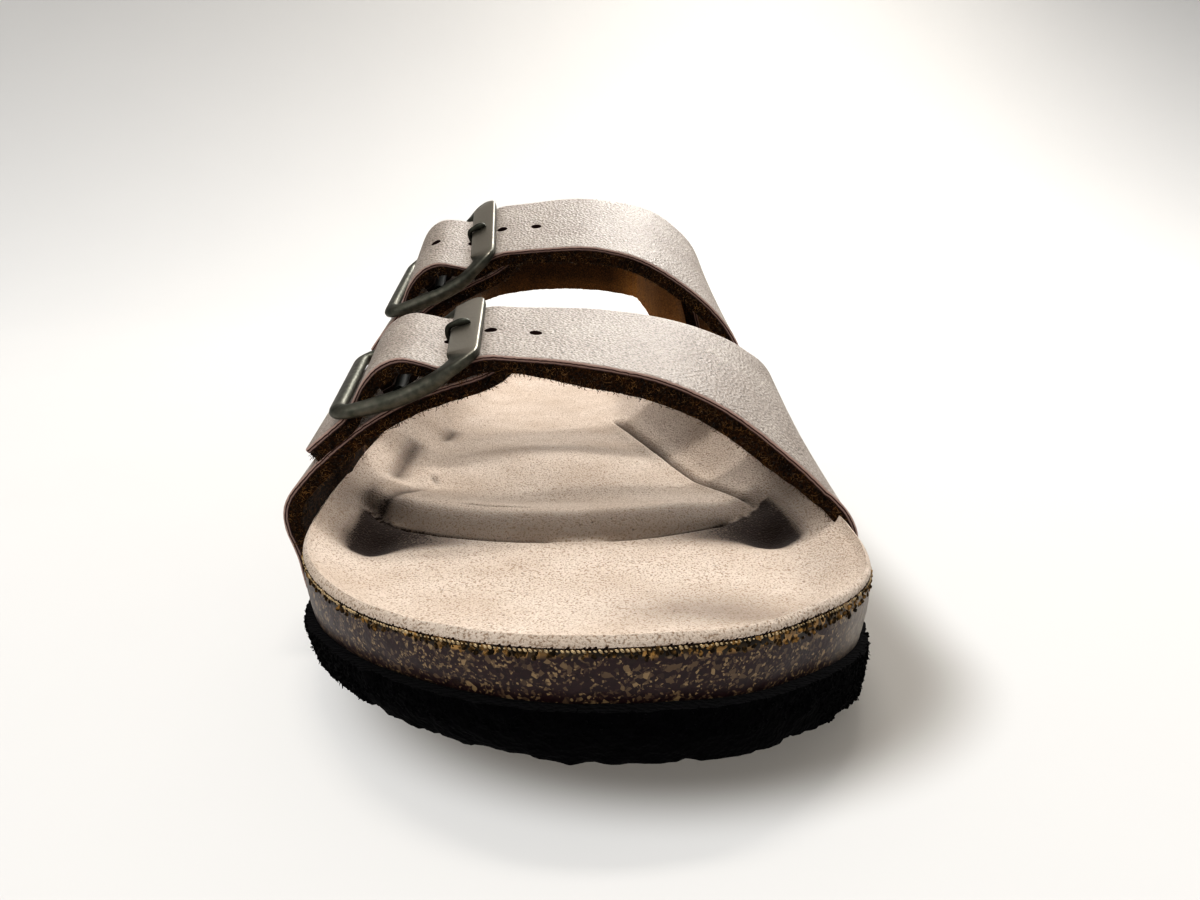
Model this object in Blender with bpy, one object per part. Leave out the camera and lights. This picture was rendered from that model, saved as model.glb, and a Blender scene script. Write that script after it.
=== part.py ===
"""Back-strap sandal for the right foot, as a shoemaker puts it together.

A black rubber outsole carries a cork midsole and a suede footbed. Two buckled straps and a
heel strap are the upper. Sizes are in millimetres and the model is made in metres: X points to
the inner side of the foot, Y from the toe to the heel and Z up from the floor.
"""

import bpy
import bmesh
import numpy as np
from mathutils import Matrix, Vector, geometry

MM = 0.001
LENGTH = 258.0
CENTRE_X = -1.3
GAP = 0.3

# Sole sections, one row for each distance from the toe: the two sides of the cork, the height of
# its seam at each side, the height of the footbed's middle, of the cork's base and of the tread.
SOLE_COLUMNS = ("from_toe", "outer", "inner", "outer_rim", "inner_rim", "bed", "cork_base", "tread")
SOLE_ROWS = (
    (0.0, 1.0, 1.0, 32.0, 32.0, 30.4, 23.2, 13.8),
    (2.0, -11.5, 17.5, 31.7, 31.7, 29.7, 22.9, 13.5),
    (5.0, -18.0, 23.8, 31.2, 31.2, 28.6, 22.4, 13.0),
    (10.0, -25.3, 30.0, 30.4, 30.4, 27.1, 21.4, 12.2),
    (20.0, -35.0, 40.0, 29.1, 29.1, 24.5, 19.4, 10.2),
    (30.0, -41.6, 46.0, 28.0, 28.0, 22.5, 17.4, 7.6),
    (40.0, -46.4, 49.0, 27.2, 27.2, 21.2, 15.4, 3.8),
    (52.0, -50.0, 50.6, 26.5, 26.6, 20.5, 13.8, 0.0),
    (65.0, -51.4, 50.5, 26.2, 26.6, 20.5, 13.1, 0.0),
    (80.0, -51.4, 48.5, 26.4, 27.4, 20.8, 13.0, 0.0),
    (100.0, -49.6, 44.0, 27.5, 30.0, 21.8, 13.0, 0.0),
    (125.0, -46.0, 37.6, 29.5, 34.0, 22.6, 13.2, 0.6),
    (150.0, -42.0, 32.6, 31.5, 36.2, 22.4, 13.4, 1.2),
    (175.0, -38.2, 30.2, 33.5, 36.4, 21.4, 13.6, 0.8),
    (200.0, -35.0, 30.0, 35.0, 36.2, 20.5, 13.8, 0.0),
    (220.0, -32.0, 29.8, 36.0, 36.6, 20.4, 14.0, 0.0),
    (237.0, -26.4, 26.0, 37.0, 37.0, 22.0, 14.4, 0.0),
    (248.0, -18.2, 18.2, 37.6, 37.6, 25.0, 14.9, 0.6),
    (255.0, -9.2, 9.2, 38.0, 38.0, 29.5, 15.5, 1.8),
    (258.0, 0.0, 0.0, 38.2, 38.2, 32.0, 16.0, 2.6),
)
SOLE = dict(zip(SOLE_COLUMNS, np.array(SOLE_ROWS).T))
OUTLINE_POINTS = 72

BALL_LINE_SLANT = 0.15

# Footbed
FOOTBED_THICKNESS = 1.4
FOOTBED_ROLL = 0.8
RIM_REACH = 16.0
ARCH_REACH = 9.0
ARCH_Y = 150.0
ARCH_SPREAD = 45.0
TOE_RIDGE_Y = 58.0
TOE_RIDGE_RISE = 7.0
TOE_RIDGE_FALL = 24.0
TOE_RIDGE_HEIGHT = 4.6
TOE_RIDGE_MARGIN = 13.0
BALL_PAD_X = -5.0
BALL_PAD_Y = 113.0
BALL_PAD_RADIUS = 21.0
BALL_PAD_HEIGHT = 3.0

# Cork side and outsole
CORK_DRAFT = 1.2
CORK_BULGE = 0.4
OUTSOLE_LEDGE = 1.0
OUTER_LEAN = 3.8
INNER_LEAN = 1.4
SIDE_BLEND = 35.0
GROOVE_FIRST = 7.0
GROOVE_PITCH = 16.5
GROOVE_COUNT = 15
GROOVE_WIDTH = 5.2
GROOVE_DEPTH = 3.4
GROOVE_WAVE = 4.0
GROOVE_WAVELENGTH = 24.0

# Straps: the face on the foot's side at the front and the back edge, one row for each section
# from the outer side's base over the foot to the inner side's base.
STRAP_THICKNESS = 2.8
STRAP_COLUMNS = ("front_x", "front_y", "front_z", "back_x", "back_y", "back_z")
FRONT_STRAP_ROWS = (
    (-51.0, 64.5, 14.0, -48.6, 106.0, 13.75),
    (-53.0, 64.2, 23.0, -50.4, 105.5, 25.0),
    (-53.5, 64.0, 29.5, -51.4, 104.5, 32.0),
    (-49.8, 64.0, 34.6, -49.4, 102.5, 38.0),
    (-44.6, 63.8, 39.5, -45.0, 100.0, 43.4),
    (-33.9, 63.5, 46.8, -34.5, 96.5, 51.4),
    (-19.2, 63.0, 52.2, -19.5, 95.0, 57.8),
    (-2.0, 62.5, 54.7, -2.0, 96.0, 60.6),
    (12.3, 62.0, 52.8, 12.5, 97.0, 59.8),
    (25.4, 61.5, 47.2, 26.4, 98.0, 56.6),
    (36.0, 61.0, 39.6, 36.6, 99.0, 52.0),
    (45.8, 60.0, 30.6, 43.6, 100.5, 44.5),
    (51.0, 59.0, 23.8, 46.4, 102.5, 33.0),
    (50.0, 58.5, 13.75, 43.0, 104.0, 13.75),
)
REAR_STRAP_ROWS = (
    (-47.0, 113.0, 13.8, -39.0, 164.0, 14.1),
    (-47.8, 114.0, 30.0, -42.0, 163.0, 33.0),
    (-46.2, 116.0, 41.0, -41.2, 161.0, 46.0),
    (-41.2, 117.5, 50.5, -37.6, 157.0, 58.8),
    (-33.2, 118.0, 58.5, -31.0, 154.0, 69.2),
    (-20.6, 118.0, 65.4, -21.0, 152.0, 77.0),
    (-6.0, 118.0, 71.0, -7.0, 151.0, 81.8),
    (6.0, 118.0, 72.5, 6.5, 151.0, 83.2),
    (14.0, 118.0, 70.9, 17.0, 151.5, 82.0),
    (26.0, 117.5, 64.4, 27.5, 153.0, 77.0),
    (32.8, 117.0, 58.8, 33.2, 154.5, 71.0),
    (38.2, 116.5, 51.5, 36.6, 157.0, 61.0),
    (40.9, 115.5, 40.0, 37.0, 160.0, 46.0),
    (38.0, 113.0, 13.8, 31.0, 163.0, 14.1),
)
FLUSH_BLEND = 8.0

# Free end of each strap, by its distance from the buckle's wide bar towards the inner side
LIFT_COLUMNS = ("from_bar", "lift")
LIFT_ROWS = (
    (-32.0, 3.1),
    (-26.0, 3.1),
    (-23.0, 3.4),
    (-20.0, 4.9),
    (-17.0, 6.9),
    (-12.5, 8.4),
    (-9.8, 7.9),
    (-7.0, 5.8),
    (-4.4, 3.8),
    (-2.5, 3.2),
    (0.0, 3.1),
    (9.0, 3.1),
    (18.0, 1.0),
    (26.0, 0.0),
)
LIFT = dict(zip(LIFT_COLUMNS, np.array(LIFT_ROWS).T))
FRONT_BAR_RUN = 58.0
REAR_BAR_RUN = 68.0
FREE_END_WIDTH = 30.0
FREE_END_BLEND = 26.0
TAB_PAST_BAR = 8.0
TAB_ROUND = 9.0
TAB_INSET = 1.2
HOLE_RADIUS = 1.3
HOLE_FIRST = -17.0
HOLE_PITCH = 10.0
HOLE_COUNT = 4

# Buckle, by its distance from the wide bar and its height over the strap's foot side
BUCKLE_LENGTH = 23.0
BUCKLE_MARGIN = 2.8
BUCKLE_CORNER = 3.6
BUCKLE_COLUMNS = ("from_bar", "height", "half_width", "half_thickness")
BUCKLE_ROWS = (
    (-23.0, 7.8, 1.5, 1.2),
    (-18.5, 5.8, 1.6, 1.5),
    (-11.5, 4.5, 1.6, 1.6),
    (-5.2, 5.4, 1.8, 1.5),
    (0.0, 7.3, 3.3, 0.9),
)
BUCKLE = dict(zip(BUCKLE_COLUMNS, np.array(BUCKLE_ROWS).T))
MIDDLE_BAR_RUN = -12.0
MIDDLE_BAR_HEIGHT = 5.6
MIDDLE_BAR_RADIUS = 1.1
PRONG_COLUMNS = ("from_bar", "height", "radius")
PRONG_ROWS = (
    (2.4, 8.2, 0.9),
    (0.0, 8.6, 1.2),
    (-2.6, 9.3, 1.15),
    (-5.0, 10.3, 1.0),
    (-6.3, 9.3, 0.8),
    (-6.9, 7.8, 0.65),
)

# Leather loop round the middle bar
KEEPER_THICKNESS = 1.1
KEEPER_WIDTH = 12.0
KEEPER_TAIL = 5.5

# Heel strap: its outer face at the lower and the upper edge, from the outer side round the heel
HEEL_THICKNESS = 2.8
HEEL_COLUMNS = ("low_x", "low_y", "low_z", "high_x", "high_y", "high_z")
HEEL_ROWS = (
    (-35.6, 178.0, 52.0, -32.6, 176.0, 72.0),
    (-34.2, 196.0, 51.0, -32.0, 195.0, 72.0),
    (-32.4, 214.0, 50.6, -31.0, 213.0, 72.2),
    (-28.4, 230.0, 51.2, -27.8, 229.0, 72.8),
    (-20.4, 240.6, 52.2, -20.2, 239.8, 73.6),
    (-10.0, 245.4, 53.0, -10.0, 244.7, 74.2),
    (0.0, 246.8, 53.2, 0.0, 246.0, 74.4),
    (10.0, 245.6, 53.0, 10.0, 244.9, 74.2),
    (20.6, 241.4, 52.2, 20.4, 240.6, 73.6),
    (28.4, 231.6, 51.2, 27.8, 230.6, 72.8),
    (31.4, 216.0, 50.6, 30.0, 215.0, 72.2),
    (32.4, 198.0, 51.0, 30.0, 197.0, 72.0),
    (33.0, 180.0, 52.0, 30.0, 178.0, 72.0),
)
HEEL_LAP_START = 31.0
HEEL_LAP_STEPS = 4
HEEL_OUTER_LOW_RUN = 33.0
HEEL_OUTER_HIGH_RUN = 53.0
HEEL_INNER_LOW_RUN = 31.5
HEEL_INNER_HIGH_RUN = 49.0

# Materials: linear colour, roughness, metallic
BLACK_RUBBER = ("outsole black rubber", (0.012, 0.012, 0.013), 0.85, 0.0)
CORK = ("midsole sealed cork", (0.16, 0.075, 0.04), 0.45, 0.0)
SUEDE = ("footbed beige suede", (0.48, 0.34, 0.25), 0.95, 0.0)
LEATHER = ("strap taupe leather", (0.33, 0.27, 0.25), 0.6, 0.0)
LOOP_LEATHER = ("keeper brown leather", (0.1, 0.06, 0.04), 0.7, 0.0)
PEWTER = ("buckle pewter", (0.28, 0.27, 0.26), 0.38, 1.0)


def smooth(knots, values, at):
    """Cubic curve through the values at the knots, read at the given places."""
    knots = np.asarray(knots, float)
    values = np.asarray(values, float)
    at = np.asarray(at, float)
    slopes = np.gradient(values, knots)
    i = np.clip(np.searchsorted(knots, at) - 1, 0, len(knots) - 2)
    step = knots[i + 1] - knots[i]
    t = np.clip((at - knots[i]) / step, 0.0, 1.0)
    start = (1 + 2 * t) * (1 - t) ** 2 * values[i] + t * (1 - t) ** 2 * step * slopes[i]
    end = t ** 2 * (3 - 2 * t) * values[i + 1] + t ** 2 * (t - 1) * step * slopes[i + 1]
    return start + end


def ease(t):
    t = np.clip(t, 0.0, 1.0)
    return t * t * (3 - 2 * t)


def sole_height(name, from_toe):
    return smooth(SOLE["from_toe"], SOLE[name], np.clip(from_toe, 0.0, LENGTH))


def base_height(name, x, from_toe):
    """Height of the cork's base or the tread, whose toe spring bends along the slanted ball line."""
    return np.maximum(sole_height(name, np.asarray(from_toe) + BALL_LINE_SLANT * np.asarray(x)), 0.0)


def turn_of(from_toe):
    """Angle that runs evenly round the toe and the heel."""
    return np.arccos(np.clip(1 - 2 * np.asarray(from_toe, float) / LENGTH, -1.0, 1.0))


def outline_x(turn):
    """Side of the cork at a turn from the toe: above 0 on the inner side, below 0 on the outer."""
    angle = turn_of(SOLE["from_toe"])
    knots = np.concatenate([-angle[::-1], angle[1:]])
    values = np.concatenate([SOLE["outer"][::-1], SOLE["inner"][1:]])
    knots = np.concatenate([[knots[0] - (np.pi - angle[-2])], knots, [knots[-1] + np.pi - angle[-2]]])
    values = np.concatenate([[SOLE["inner"][-2]], values, [SOLE["outer"][-2]]])
    return smooth(knots, values, turn)


def outline(count):
    """Plan of the cork's seam and its outward directions."""
    turn = -np.pi + 2 * np.pi * (np.arange(count) + 0.5) / count
    points = np.stack([outline_x(turn), LENGTH / 2 * (1 - np.cos(turn))], axis=1)
    along = np.roll(points, -1, axis=0) - np.roll(points, 1, axis=0)
    outward = np.stack([along[:, 1], -along[:, 0]], axis=1)
    outward /= np.linalg.norm(outward, axis=1)[:, None]
    if (outward * (points - points.mean(axis=0))).sum() < 0:
        outward = -outward
    return points, outward


def rim_height(x, from_toe):
    outer = sole_height("outer_rim", from_toe)
    inner = sole_height("inner_rim", from_toe)
    return np.where(np.asarray(x) > 0, inner, outer) + FOOTBED_THICKNESS


def footbed_height(x, y):
    """Upper face of the footbed: rim, toe-grip ridge, ball pad, arch and heel cup."""
    edge, _ = outline(360)
    away = np.hypot(x[:, None] - edge[None, :, 0], y[:, None] - edge[None, :, 1])
    nearest = away.argmin(axis=1)
    depth = away.min(axis=1)
    rim = rim_height(edge[nearest, 0], edge[nearest, 1])
    arch = np.exp(-((edge[nearest, 1] - ARCH_Y) / ARCH_SPREAD) ** 2) * (edge[nearest, 0] > 0)
    reach = RIM_REACH + ARCH_REACH * arch
    inside = np.clip(1 - depth / reach, 0.0, 1.0) ** 2.1
    bed = sole_height("bed", y)
    rise = ease((y - TOE_RIDGE_Y) / TOE_RIDGE_RISE)
    fall = 1 - ease((y - TOE_RIDGE_Y - TOE_RIDGE_RISE) / TOE_RIDGE_FALL)
    ridge = TOE_RIDGE_HEIGHT * rise * fall * ease((depth - 3.0) / TOE_RIDGE_MARGIN)
    pad = BALL_PAD_HEIGHT * np.exp(-((x - BALL_PAD_X) ** 2 + (y - BALL_PAD_Y) ** 2) / BALL_PAD_RADIUS ** 2)
    low = bed + ridge + pad
    return low + (rim - low) * inside


def cork_side(x_sign, y, z):
    """Plan position of the cork's side wall at a height, with its draft."""
    turn = turn_of(y) * x_sign
    base = base_height("cork_base", outline_x(turn), y)
    rim = np.where(x_sign > 0, sole_height("inner_rim", y), sole_height("outer_rim", y))
    down = np.clip((rim - z) / (rim - base), 0.0, 1.0)
    inset = CORK_DRAFT * down - CORK_BULGE * np.sin(np.pi * down)
    return outline_x(turn) - x_sign * inset


def new_material(spec):
    name, colour, roughness, metallic = spec
    material = bpy.data.materials.get(name)
    if material:
        return material
    material = bpy.data.materials.new(name)
    material.use_nodes = True
    shader = material.node_tree.nodes["Principled BSDF"]
    shader.inputs["Base Color"].default_value = (*colour, 1.0)
    shader.inputs["Roughness"].default_value = roughness
    shader.inputs["Metallic"].default_value = metallic
    return material


def new_object(name, points, faces, collection, spec=None):
    """Closed mesh from points in millimetres, turned so that its normals face outwards."""
    shift = np.array([CENTRE_X, LENGTH / 2, 0.0])
    mesh = bpy.data.meshes.new(name)
    mesh.from_pydata(((np.asarray(points, float) - shift) * MM).tolist(), [], faces)
    work = bmesh.new()
    work.from_mesh(mesh)
    bmesh.ops.recalc_face_normals(work, faces=work.faces)
    if work.calc_volume(signed=True) < 0:
        bmesh.ops.reverse_faces(work, faces=work.faces)
    work.to_mesh(mesh)
    work.free()
    obj = bpy.data.objects.new(name, mesh)
    collection.objects.link(obj)
    if spec:
        mesh.materials.append(new_material(spec))
    else:
        obj.hide_render = True
        obj.display_type = "WIRE"
    return obj


def boolean(obj, other, operation):
    modifier = obj.modifiers.new(f"{operation.lower()} {other.name}", "BOOLEAN")
    modifier.operation = operation
    modifier.solver = "EXACT"
    modifier.object = other


def plan_mesh(rings, rows, column_spacing, margin):
    """Triangles over the outline, with inset rings and rows of points inside."""
    edge, outward = outline(OUTLINE_POINTS)
    points = [edge]
    for inset in rings:
        points.append(edge - outward * inset)
    for y in rows:
        left, right = outline_x(np.array([-turn_of(y), turn_of(y)]))
        reach = [left + margin, right - margin]
        if reach[1] - reach[0] < column_spacing / 2:
            continue
        count = max(2, int(round((reach[1] - reach[0]) / column_spacing)) + 1)
        row = np.stack([np.linspace(*reach, count), np.full(count, y)], axis=1)
        gap = np.hypot(row[:, None, 0] - edge[None, :, 0], row[:, None, 1] - edge[None, :, 1]).min(axis=1)
        points.append(row[gap > margin * 0.8])
    points = np.concatenate(points)
    border = list(range(OUTLINE_POINTS))
    made = geometry.delaunay_2d_cdt([Vector(p) for p in points], [], [border], 1, 1e-5)
    origin = [ids[0] for ids in made[3]]
    return points, [tuple(origin[i] for i in face) for face in made[2]]


def sole_layer(name, plan, top, base, sides, collection, spec):
    """Solid between two height functions. Side rows: share of the way down, outer and inner flare."""
    points, triangles = plan
    count = OUTLINE_POINTS
    edge, outward = outline(count)
    inner_share = ease(0.5 + edge[:, :1] / (2 * SIDE_BLEND))
    shape = []
    for height, row in ((top, sides[0]), (base, sides[-1])):
        flat = points.copy()
        flat[:count] += outward * (row[1] * (1 - inner_share) + row[2] * inner_share)
        level = height(points[:, 0], points[:, 1])
        shape.append(np.column_stack([flat, level]))
    solid = list(shape)
    rings = [list(range(count))]
    total = 2 * len(points)
    for share, outer, inner in sides[1:-1]:
        ring = points[:count] + outward * (outer * (1 - inner_share) + inner * inner_share)
        level = shape[0][:count, 2] * (1 - share) + shape[1][:count, 2] * share
        solid.append(np.column_stack([ring, level]))
        rings.append(list(range(total, total + count)))
        total += count
    rings.append(list(range(len(points), len(points) + count)))
    faces = [tuple(face) for face in triangles]
    faces += [tuple(i + len(points) for i in reversed(face)) for face in triangles]
    for upper, lower in zip(rings, rings[1:]):
        for i in range(count):
            j = (i + 1) % count
            faces.append((upper[i], upper[j], lower[j], lower[i]))
    return new_object(name, np.concatenate(solid), faces, collection, spec)


def strap_sheet(rows):
    """Knots of a strap's sheet: its run along the front edge and its two edges."""
    table = np.array(rows)
    step = np.linalg.norm(np.diff(table[:, :3], axis=0), axis=1)
    return {"run": np.concatenate([[0.0], np.cumsum(step)]), "edges": table}


def sheet_point(sheet, run, across):
    """Foot side of the sheet at a run and at millimetres from its front edge."""
    edges = [smooth(sheet["run"], sheet["edges"][:, i], run) for i in range(6)]
    front = np.stack(edges[:3], axis=-1)
    back = np.stack(edges[3:], axis=-1)
    width = np.linalg.norm(back - front, axis=-1, keepdims=True)
    point = front + (back - front) / width * np.asarray(across)[..., None]
    sign = np.where(np.asarray(run) < sheet["run"][-1] / 2, -1.0, 1.0)
    y = point[..., 1]
    rim = np.where(sign > 0, sole_height("inner_rim", y), sole_height("outer_rim", y))
    wall = cork_side(sign, y, point[..., 2]) + sign * (GAP + 0.05)
    over_rim = point[..., 2] - rim
    free = ease((over_rim + FLUSH_BLEND) / FLUSH_BLEND)
    stand_off = sign * (point[..., 0] - wall) * free
    clear = np.maximum(over_rim - FOOTBED_THICKNESS - GAP, 0.0)
    point[..., 0] = wall + sign * np.maximum(stand_off, -clear ** 2)
    return point


def sheet_width(sheet, run):
    edges = [smooth(sheet["run"], sheet["edges"][:, i], run) for i in range(6)]
    return np.linalg.norm(np.stack(edges[3:], axis=-1) - np.stack(edges[:3], axis=-1), axis=-1)


def sheet_normal(sheet, run, across):
    """Direction away from the foot."""
    run = np.asarray(run, float)
    across = np.asarray(across, float)
    low = np.clip(run - 0.5, 0.0, sheet["run"][-1])
    high = np.clip(run + 0.5, 0.0, sheet["run"][-1])
    along = sheet_point(sheet, high, across) - sheet_point(sheet, low, across)
    side = sheet_point(sheet, run, across + 0.5) - sheet_point(sheet, run, across - 0.5)
    normal = np.cross(along, side)
    return normal / np.linalg.norm(normal, axis=-1, keepdims=True)


def lifted(sheet, run, across, height):
    """Point of the sheet, raised from the foot side by a height."""
    run, across, height = np.broadcast_arrays(*(np.asarray(v, float) for v in (run, across, height)))
    return sheet_point(sheet, run, across) + sheet_normal(sheet, run, across) * height[..., None]


def band(name, under, over, collection, spec):
    """Solid between two grids of points that lie a thickness apart."""
    rows, columns = under.shape[:2]
    size = rows * columns
    points = np.concatenate([under.reshape(-1, 3), over.reshape(-1, 3)])

    def at(i, j, layer):
        return layer * size + i * columns + j

    faces = []
    corners = ((0, 0), (1, 0), (1, 1), (0, 1))
    for i in range(rows - 1):
        for j in range(columns - 1):
            for layer in (0, 1):
                faces.append(tuple(at(i + a, j + b, layer) for a, b in corners))
    border = [(i, 0) for i in range(rows)]
    border += [(rows - 1, j) for j in range(1, columns)]
    border += [(i, columns - 1) for i in range(rows - 2, -1, -1)]
    border += [(0, j) for j in range(columns - 2, 0, -1)]
    for (i, j), (k, m) in zip(border, border[1:] + border[:1]):
        faces.append((at(i, j, 0), at(k, m, 0), at(k, m, 1), at(i, j, 1)))
    return new_object(name, points, faces, collection, spec)


def tube(name, rings, round_trip, collection, spec=None):
    """Solid through a row of rings: a closed hoop, or a bar with capped ends."""
    rings = np.asarray(rings)
    count, sides = rings.shape[:2]
    faces = []
    for i in range(count if round_trip else count - 1):
        k = (i + 1) % count
        for j in range(sides):
            m = (j + 1) % sides
            faces.append((i * sides + j, i * sides + m, k * sides + m, k * sides + j))
    if not round_trip:
        faces.append(tuple(range(sides)))
        faces.append(tuple((count - 1) * sides + j for j in range(sides)))
    return new_object(name, rings.reshape(-1, 3), faces, collection, spec)


def make_sole(parts, cutters):
    rows = np.concatenate([np.arange(12, 50, 12), np.arange(55, 88, 4.5), np.arange(96, 252, 13)])
    plan = plan_mesh((3.0, 7.5), rows, 12.5, 12.0)
    draft = CORK_DRAFT
    bulge = CORK_BULGE
    cork_sides = (
        (0.0, 0.0, 0.0),
        (0.35, bulge - 0.35 * draft, bulge - 0.35 * draft),
        (0.7, bulge - 0.7 * draft, bulge - 0.7 * draft),
        (1.0, -draft, -draft),
    )
    roll_sides = ((0.0, -FOOTBED_ROLL, -FOOTBED_ROLL), (1.0, 0.0, 0.0))

    def bed_under(x, y):
        return footbed_height(x, y) - FOOTBED_THICKNESS

    def cork_top(x, y):
        return footbed_height(x, y) - FOOTBED_THICKNESS - GAP

    def cork_base(x, y):
        return base_height("cork_base", x, y) + GAP / 2

    sole_layer("footbed", plan, footbed_height, bed_under, roll_sides, parts, SUEDE)
    sole_layer("cork_midsole", plan, cork_top, cork_base, cork_sides, parts, CORK)

    def outsole_top(x, y):
        return base_height("cork_base", x, y) - GAP / 2

    def tread(x, y):
        return base_height("tread", x, y)

    coarse = plan_mesh((8.0,), np.arange(14, 250, 15), 16.0, 15.0)
    ledge = OUTSOLE_LEDGE
    rubber_sides = [
        (share, ledge - lean * OUTER_LEAN, ledge - lean * INNER_LEAN)
        for share, lean in ((0.0, 0.0), (0.4, 0.2), (0.8, 0.6), (1.0, 1.0))
    ]
    outsole = sole_layer("outsole", coarse, outsole_top, tread, rubber_sides, parts, BLACK_RUBBER)
    boolean(outsole, make_grooves(cutters), "DIFFERENCE")


def make_grooves(cutters):
    """Wavy channels across the tread, open at both sides."""
    points = []
    faces = []
    x = np.arange(-66.0, 66.1, GROOVE_WAVELENGTH / 4)
    for k in range(GROOVE_COUNT):
        middle = GROOVE_FIRST + k * GROOVE_PITCH + GROOVE_WAVE * np.cos(2 * np.pi * x / GROOVE_WAVELENGTH)
        start = len(points)
        for place, y in zip(x, middle):
            front = y - GROOVE_WIDTH / 2
            back = y + GROOVE_WIDTH / 2
            floor = float(base_height("tread", place, y)) + GROOVE_DEPTH
            points += [(place, front - 0.5, floor - 20.0), (place, back + 0.5, floor - 20.0)]
            points += [(place, back - 0.4, floor), (place, front + 0.4, floor)]
        for i in range(len(x) - 1):
            here = start + 4 * i
            for j in range(4):
                m = (j + 1) % 4
                faces.append((here + j, here + m, here + 4 + m, here + 4 + j))
        faces.append(tuple(start + j for j in range(4)))
        faces.append(tuple(start + 4 * (len(x) - 1) + j for j in range(4)))
    return new_object("tread_grooves", points, faces, cutters)


def free_end_width(sheet, bar_run, run):
    full = sheet_width(sheet, run)
    share = ease((run - bar_run) / FREE_END_BLEND)
    return np.minimum(full, FREE_END_WIDTH) * (1 - share) + full * share


def make_strap(name, sheet, bar_run, parts, cutters):
    """Long strap, from its free end past the buckle to the inner side's base."""
    near = np.linspace(bar_run - 32.0, bar_run + 26.0, 24)
    far = np.linspace(bar_run + 26.0, sheet["run"][-1], 13)[1:]
    run = np.concatenate([near, far])[:, None]
    share = np.linspace(0.0, 1.0, 5)[None, :]
    run = np.repeat(run, 5, axis=1)
    across = free_end_width(sheet, bar_run, run) * share
    lift = strap_lift(run - bar_run)
    under = lifted(sheet, run, across, lift)
    over = lifted(sheet, run, across, lift + STRAP_THICKNESS)
    strap = band(name, under, over, parts, LEATHER)
    boolean(strap, make_holes(f"{name}_holes", sheet, bar_run, cutters), "DIFFERENCE")


def strap_lift(from_bar):
    return smooth(LIFT["from_bar"], LIFT["lift"], from_bar)


def make_holes(name, sheet, bar_run, cutters):
    """Round adjusting holes along the middle of the strap's free end."""
    middle_line = FREE_END_WIDTH / 2
    shift = np.array([CENTRE_X, LENGTH / 2, 0.0])
    work = bmesh.new()
    for k in range(HOLE_COUNT):
        from_bar = HOLE_FIRST + k * HOLE_PITCH
        steps = np.array([from_bar, from_bar + 1.0, from_bar])
        places = np.array([middle_line, middle_line, middle_line + 1.0])
        heights = strap_lift(steps) + STRAP_THICKNESS / 2
        middle, ahead, side = lifted(sheet, bar_run + steps, places, heights)
        axis = Vector(np.cross(ahead - middle, side - middle)).normalized()
        place = Matrix.Translation(Vector((middle - shift) * MM))
        bmesh.ops.create_cone(
            work,
            cap_ends=True,
            segments=10,
            radius1=HOLE_RADIUS * MM,
            radius2=HOLE_RADIUS * MM,
            depth=3 * STRAP_THICKNESS * MM,
            matrix=place @ axis.to_track_quat("Z", "Y").to_matrix().to_4x4(),
        )
    mesh = bpy.data.meshes.new(name)
    work.to_mesh(mesh)
    work.free()
    obj = bpy.data.objects.new(name, mesh)
    obj.hide_render = True
    obj.display_type = "WIRE"
    cutters.objects.link(obj)
    return obj


def make_tab(name, sheet, bar_run, parts):
    """Short piece on the outer side, with a rounded end under the strap."""
    end = bar_run + TAB_PAST_BAR
    round_run = end - TAB_ROUND * (1 - np.sin(np.linspace(0.0, np.pi / 2, 6)))
    run = np.concatenate([np.linspace(0.0, end - TAB_ROUND, 13)[:-1], round_run])[:, None]
    run = np.repeat(run, 5, axis=1)
    share = np.linspace(-1.0, 1.0, 5)[None, :]
    taper = ease((run - bar_run + 34.0) / 20.0)
    width = sheet_width(sheet, run) * (1 - taper) + (FREE_END_WIDTH - TAB_INSET) * taper
    closing = np.clip((run - (end - TAB_ROUND)) / TAB_ROUND, 0.0, 0.97)
    middle = width / 2 + TAB_INSET * taper / 2
    half = width / 2 * np.sqrt(1 - closing ** 2)
    across = middle + half * share
    under = lifted(sheet, run, across, 0.0)
    over = lifted(sheet, run, across, STRAP_THICKNESS)
    band(name, under, over, parts, LEATHER)


def ring_at(sheet, run, across, height, along_half, up_half, direction, sides):
    """Oval ring round a place on a strap, square to a direction in (run, across)."""
    angle = 2 * np.pi * np.arange(sides) / sides
    out = np.cos(angle) * along_half
    up = np.sin(angle) * up_half
    runs = run - direction[1] * out
    acrosses = across + direction[0] * out
    return lifted(sheet, runs, acrosses, height + up)


def buckle_path():
    """Rounded oblong that the buckle's frame follows, from its middle, and its headings."""
    half = np.array([BUCKLE_LENGTH, FREE_END_WIDTH + 2 * BUCKLE_MARGIN]) / 2
    path = []
    for quarter, sign in enumerate(((1, 1), (-1, 1), (-1, -1), (1, -1))):
        for turn in np.pi / 2 * (quarter + np.linspace(0.0, 1.0, 4)):
            arc = BUCKLE_CORNER * np.array([np.cos(turn), np.sin(turn)])
            path.append(np.array(sign) * (half - BUCKLE_CORNER) + arc)
    full = []
    for a, b in zip(path, path[1:] + path[:1]):
        pieces = max(1, int(round(np.linalg.norm(b - a) / 4.0)))
        full += [a + (b - a) * k / pieces for k in range(pieces)]
    full = np.array(full)
    heading = np.roll(full, -1, axis=0) - np.roll(full, 1, axis=0)
    return full, heading / np.linalg.norm(heading, axis=1)[:, None]


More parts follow.
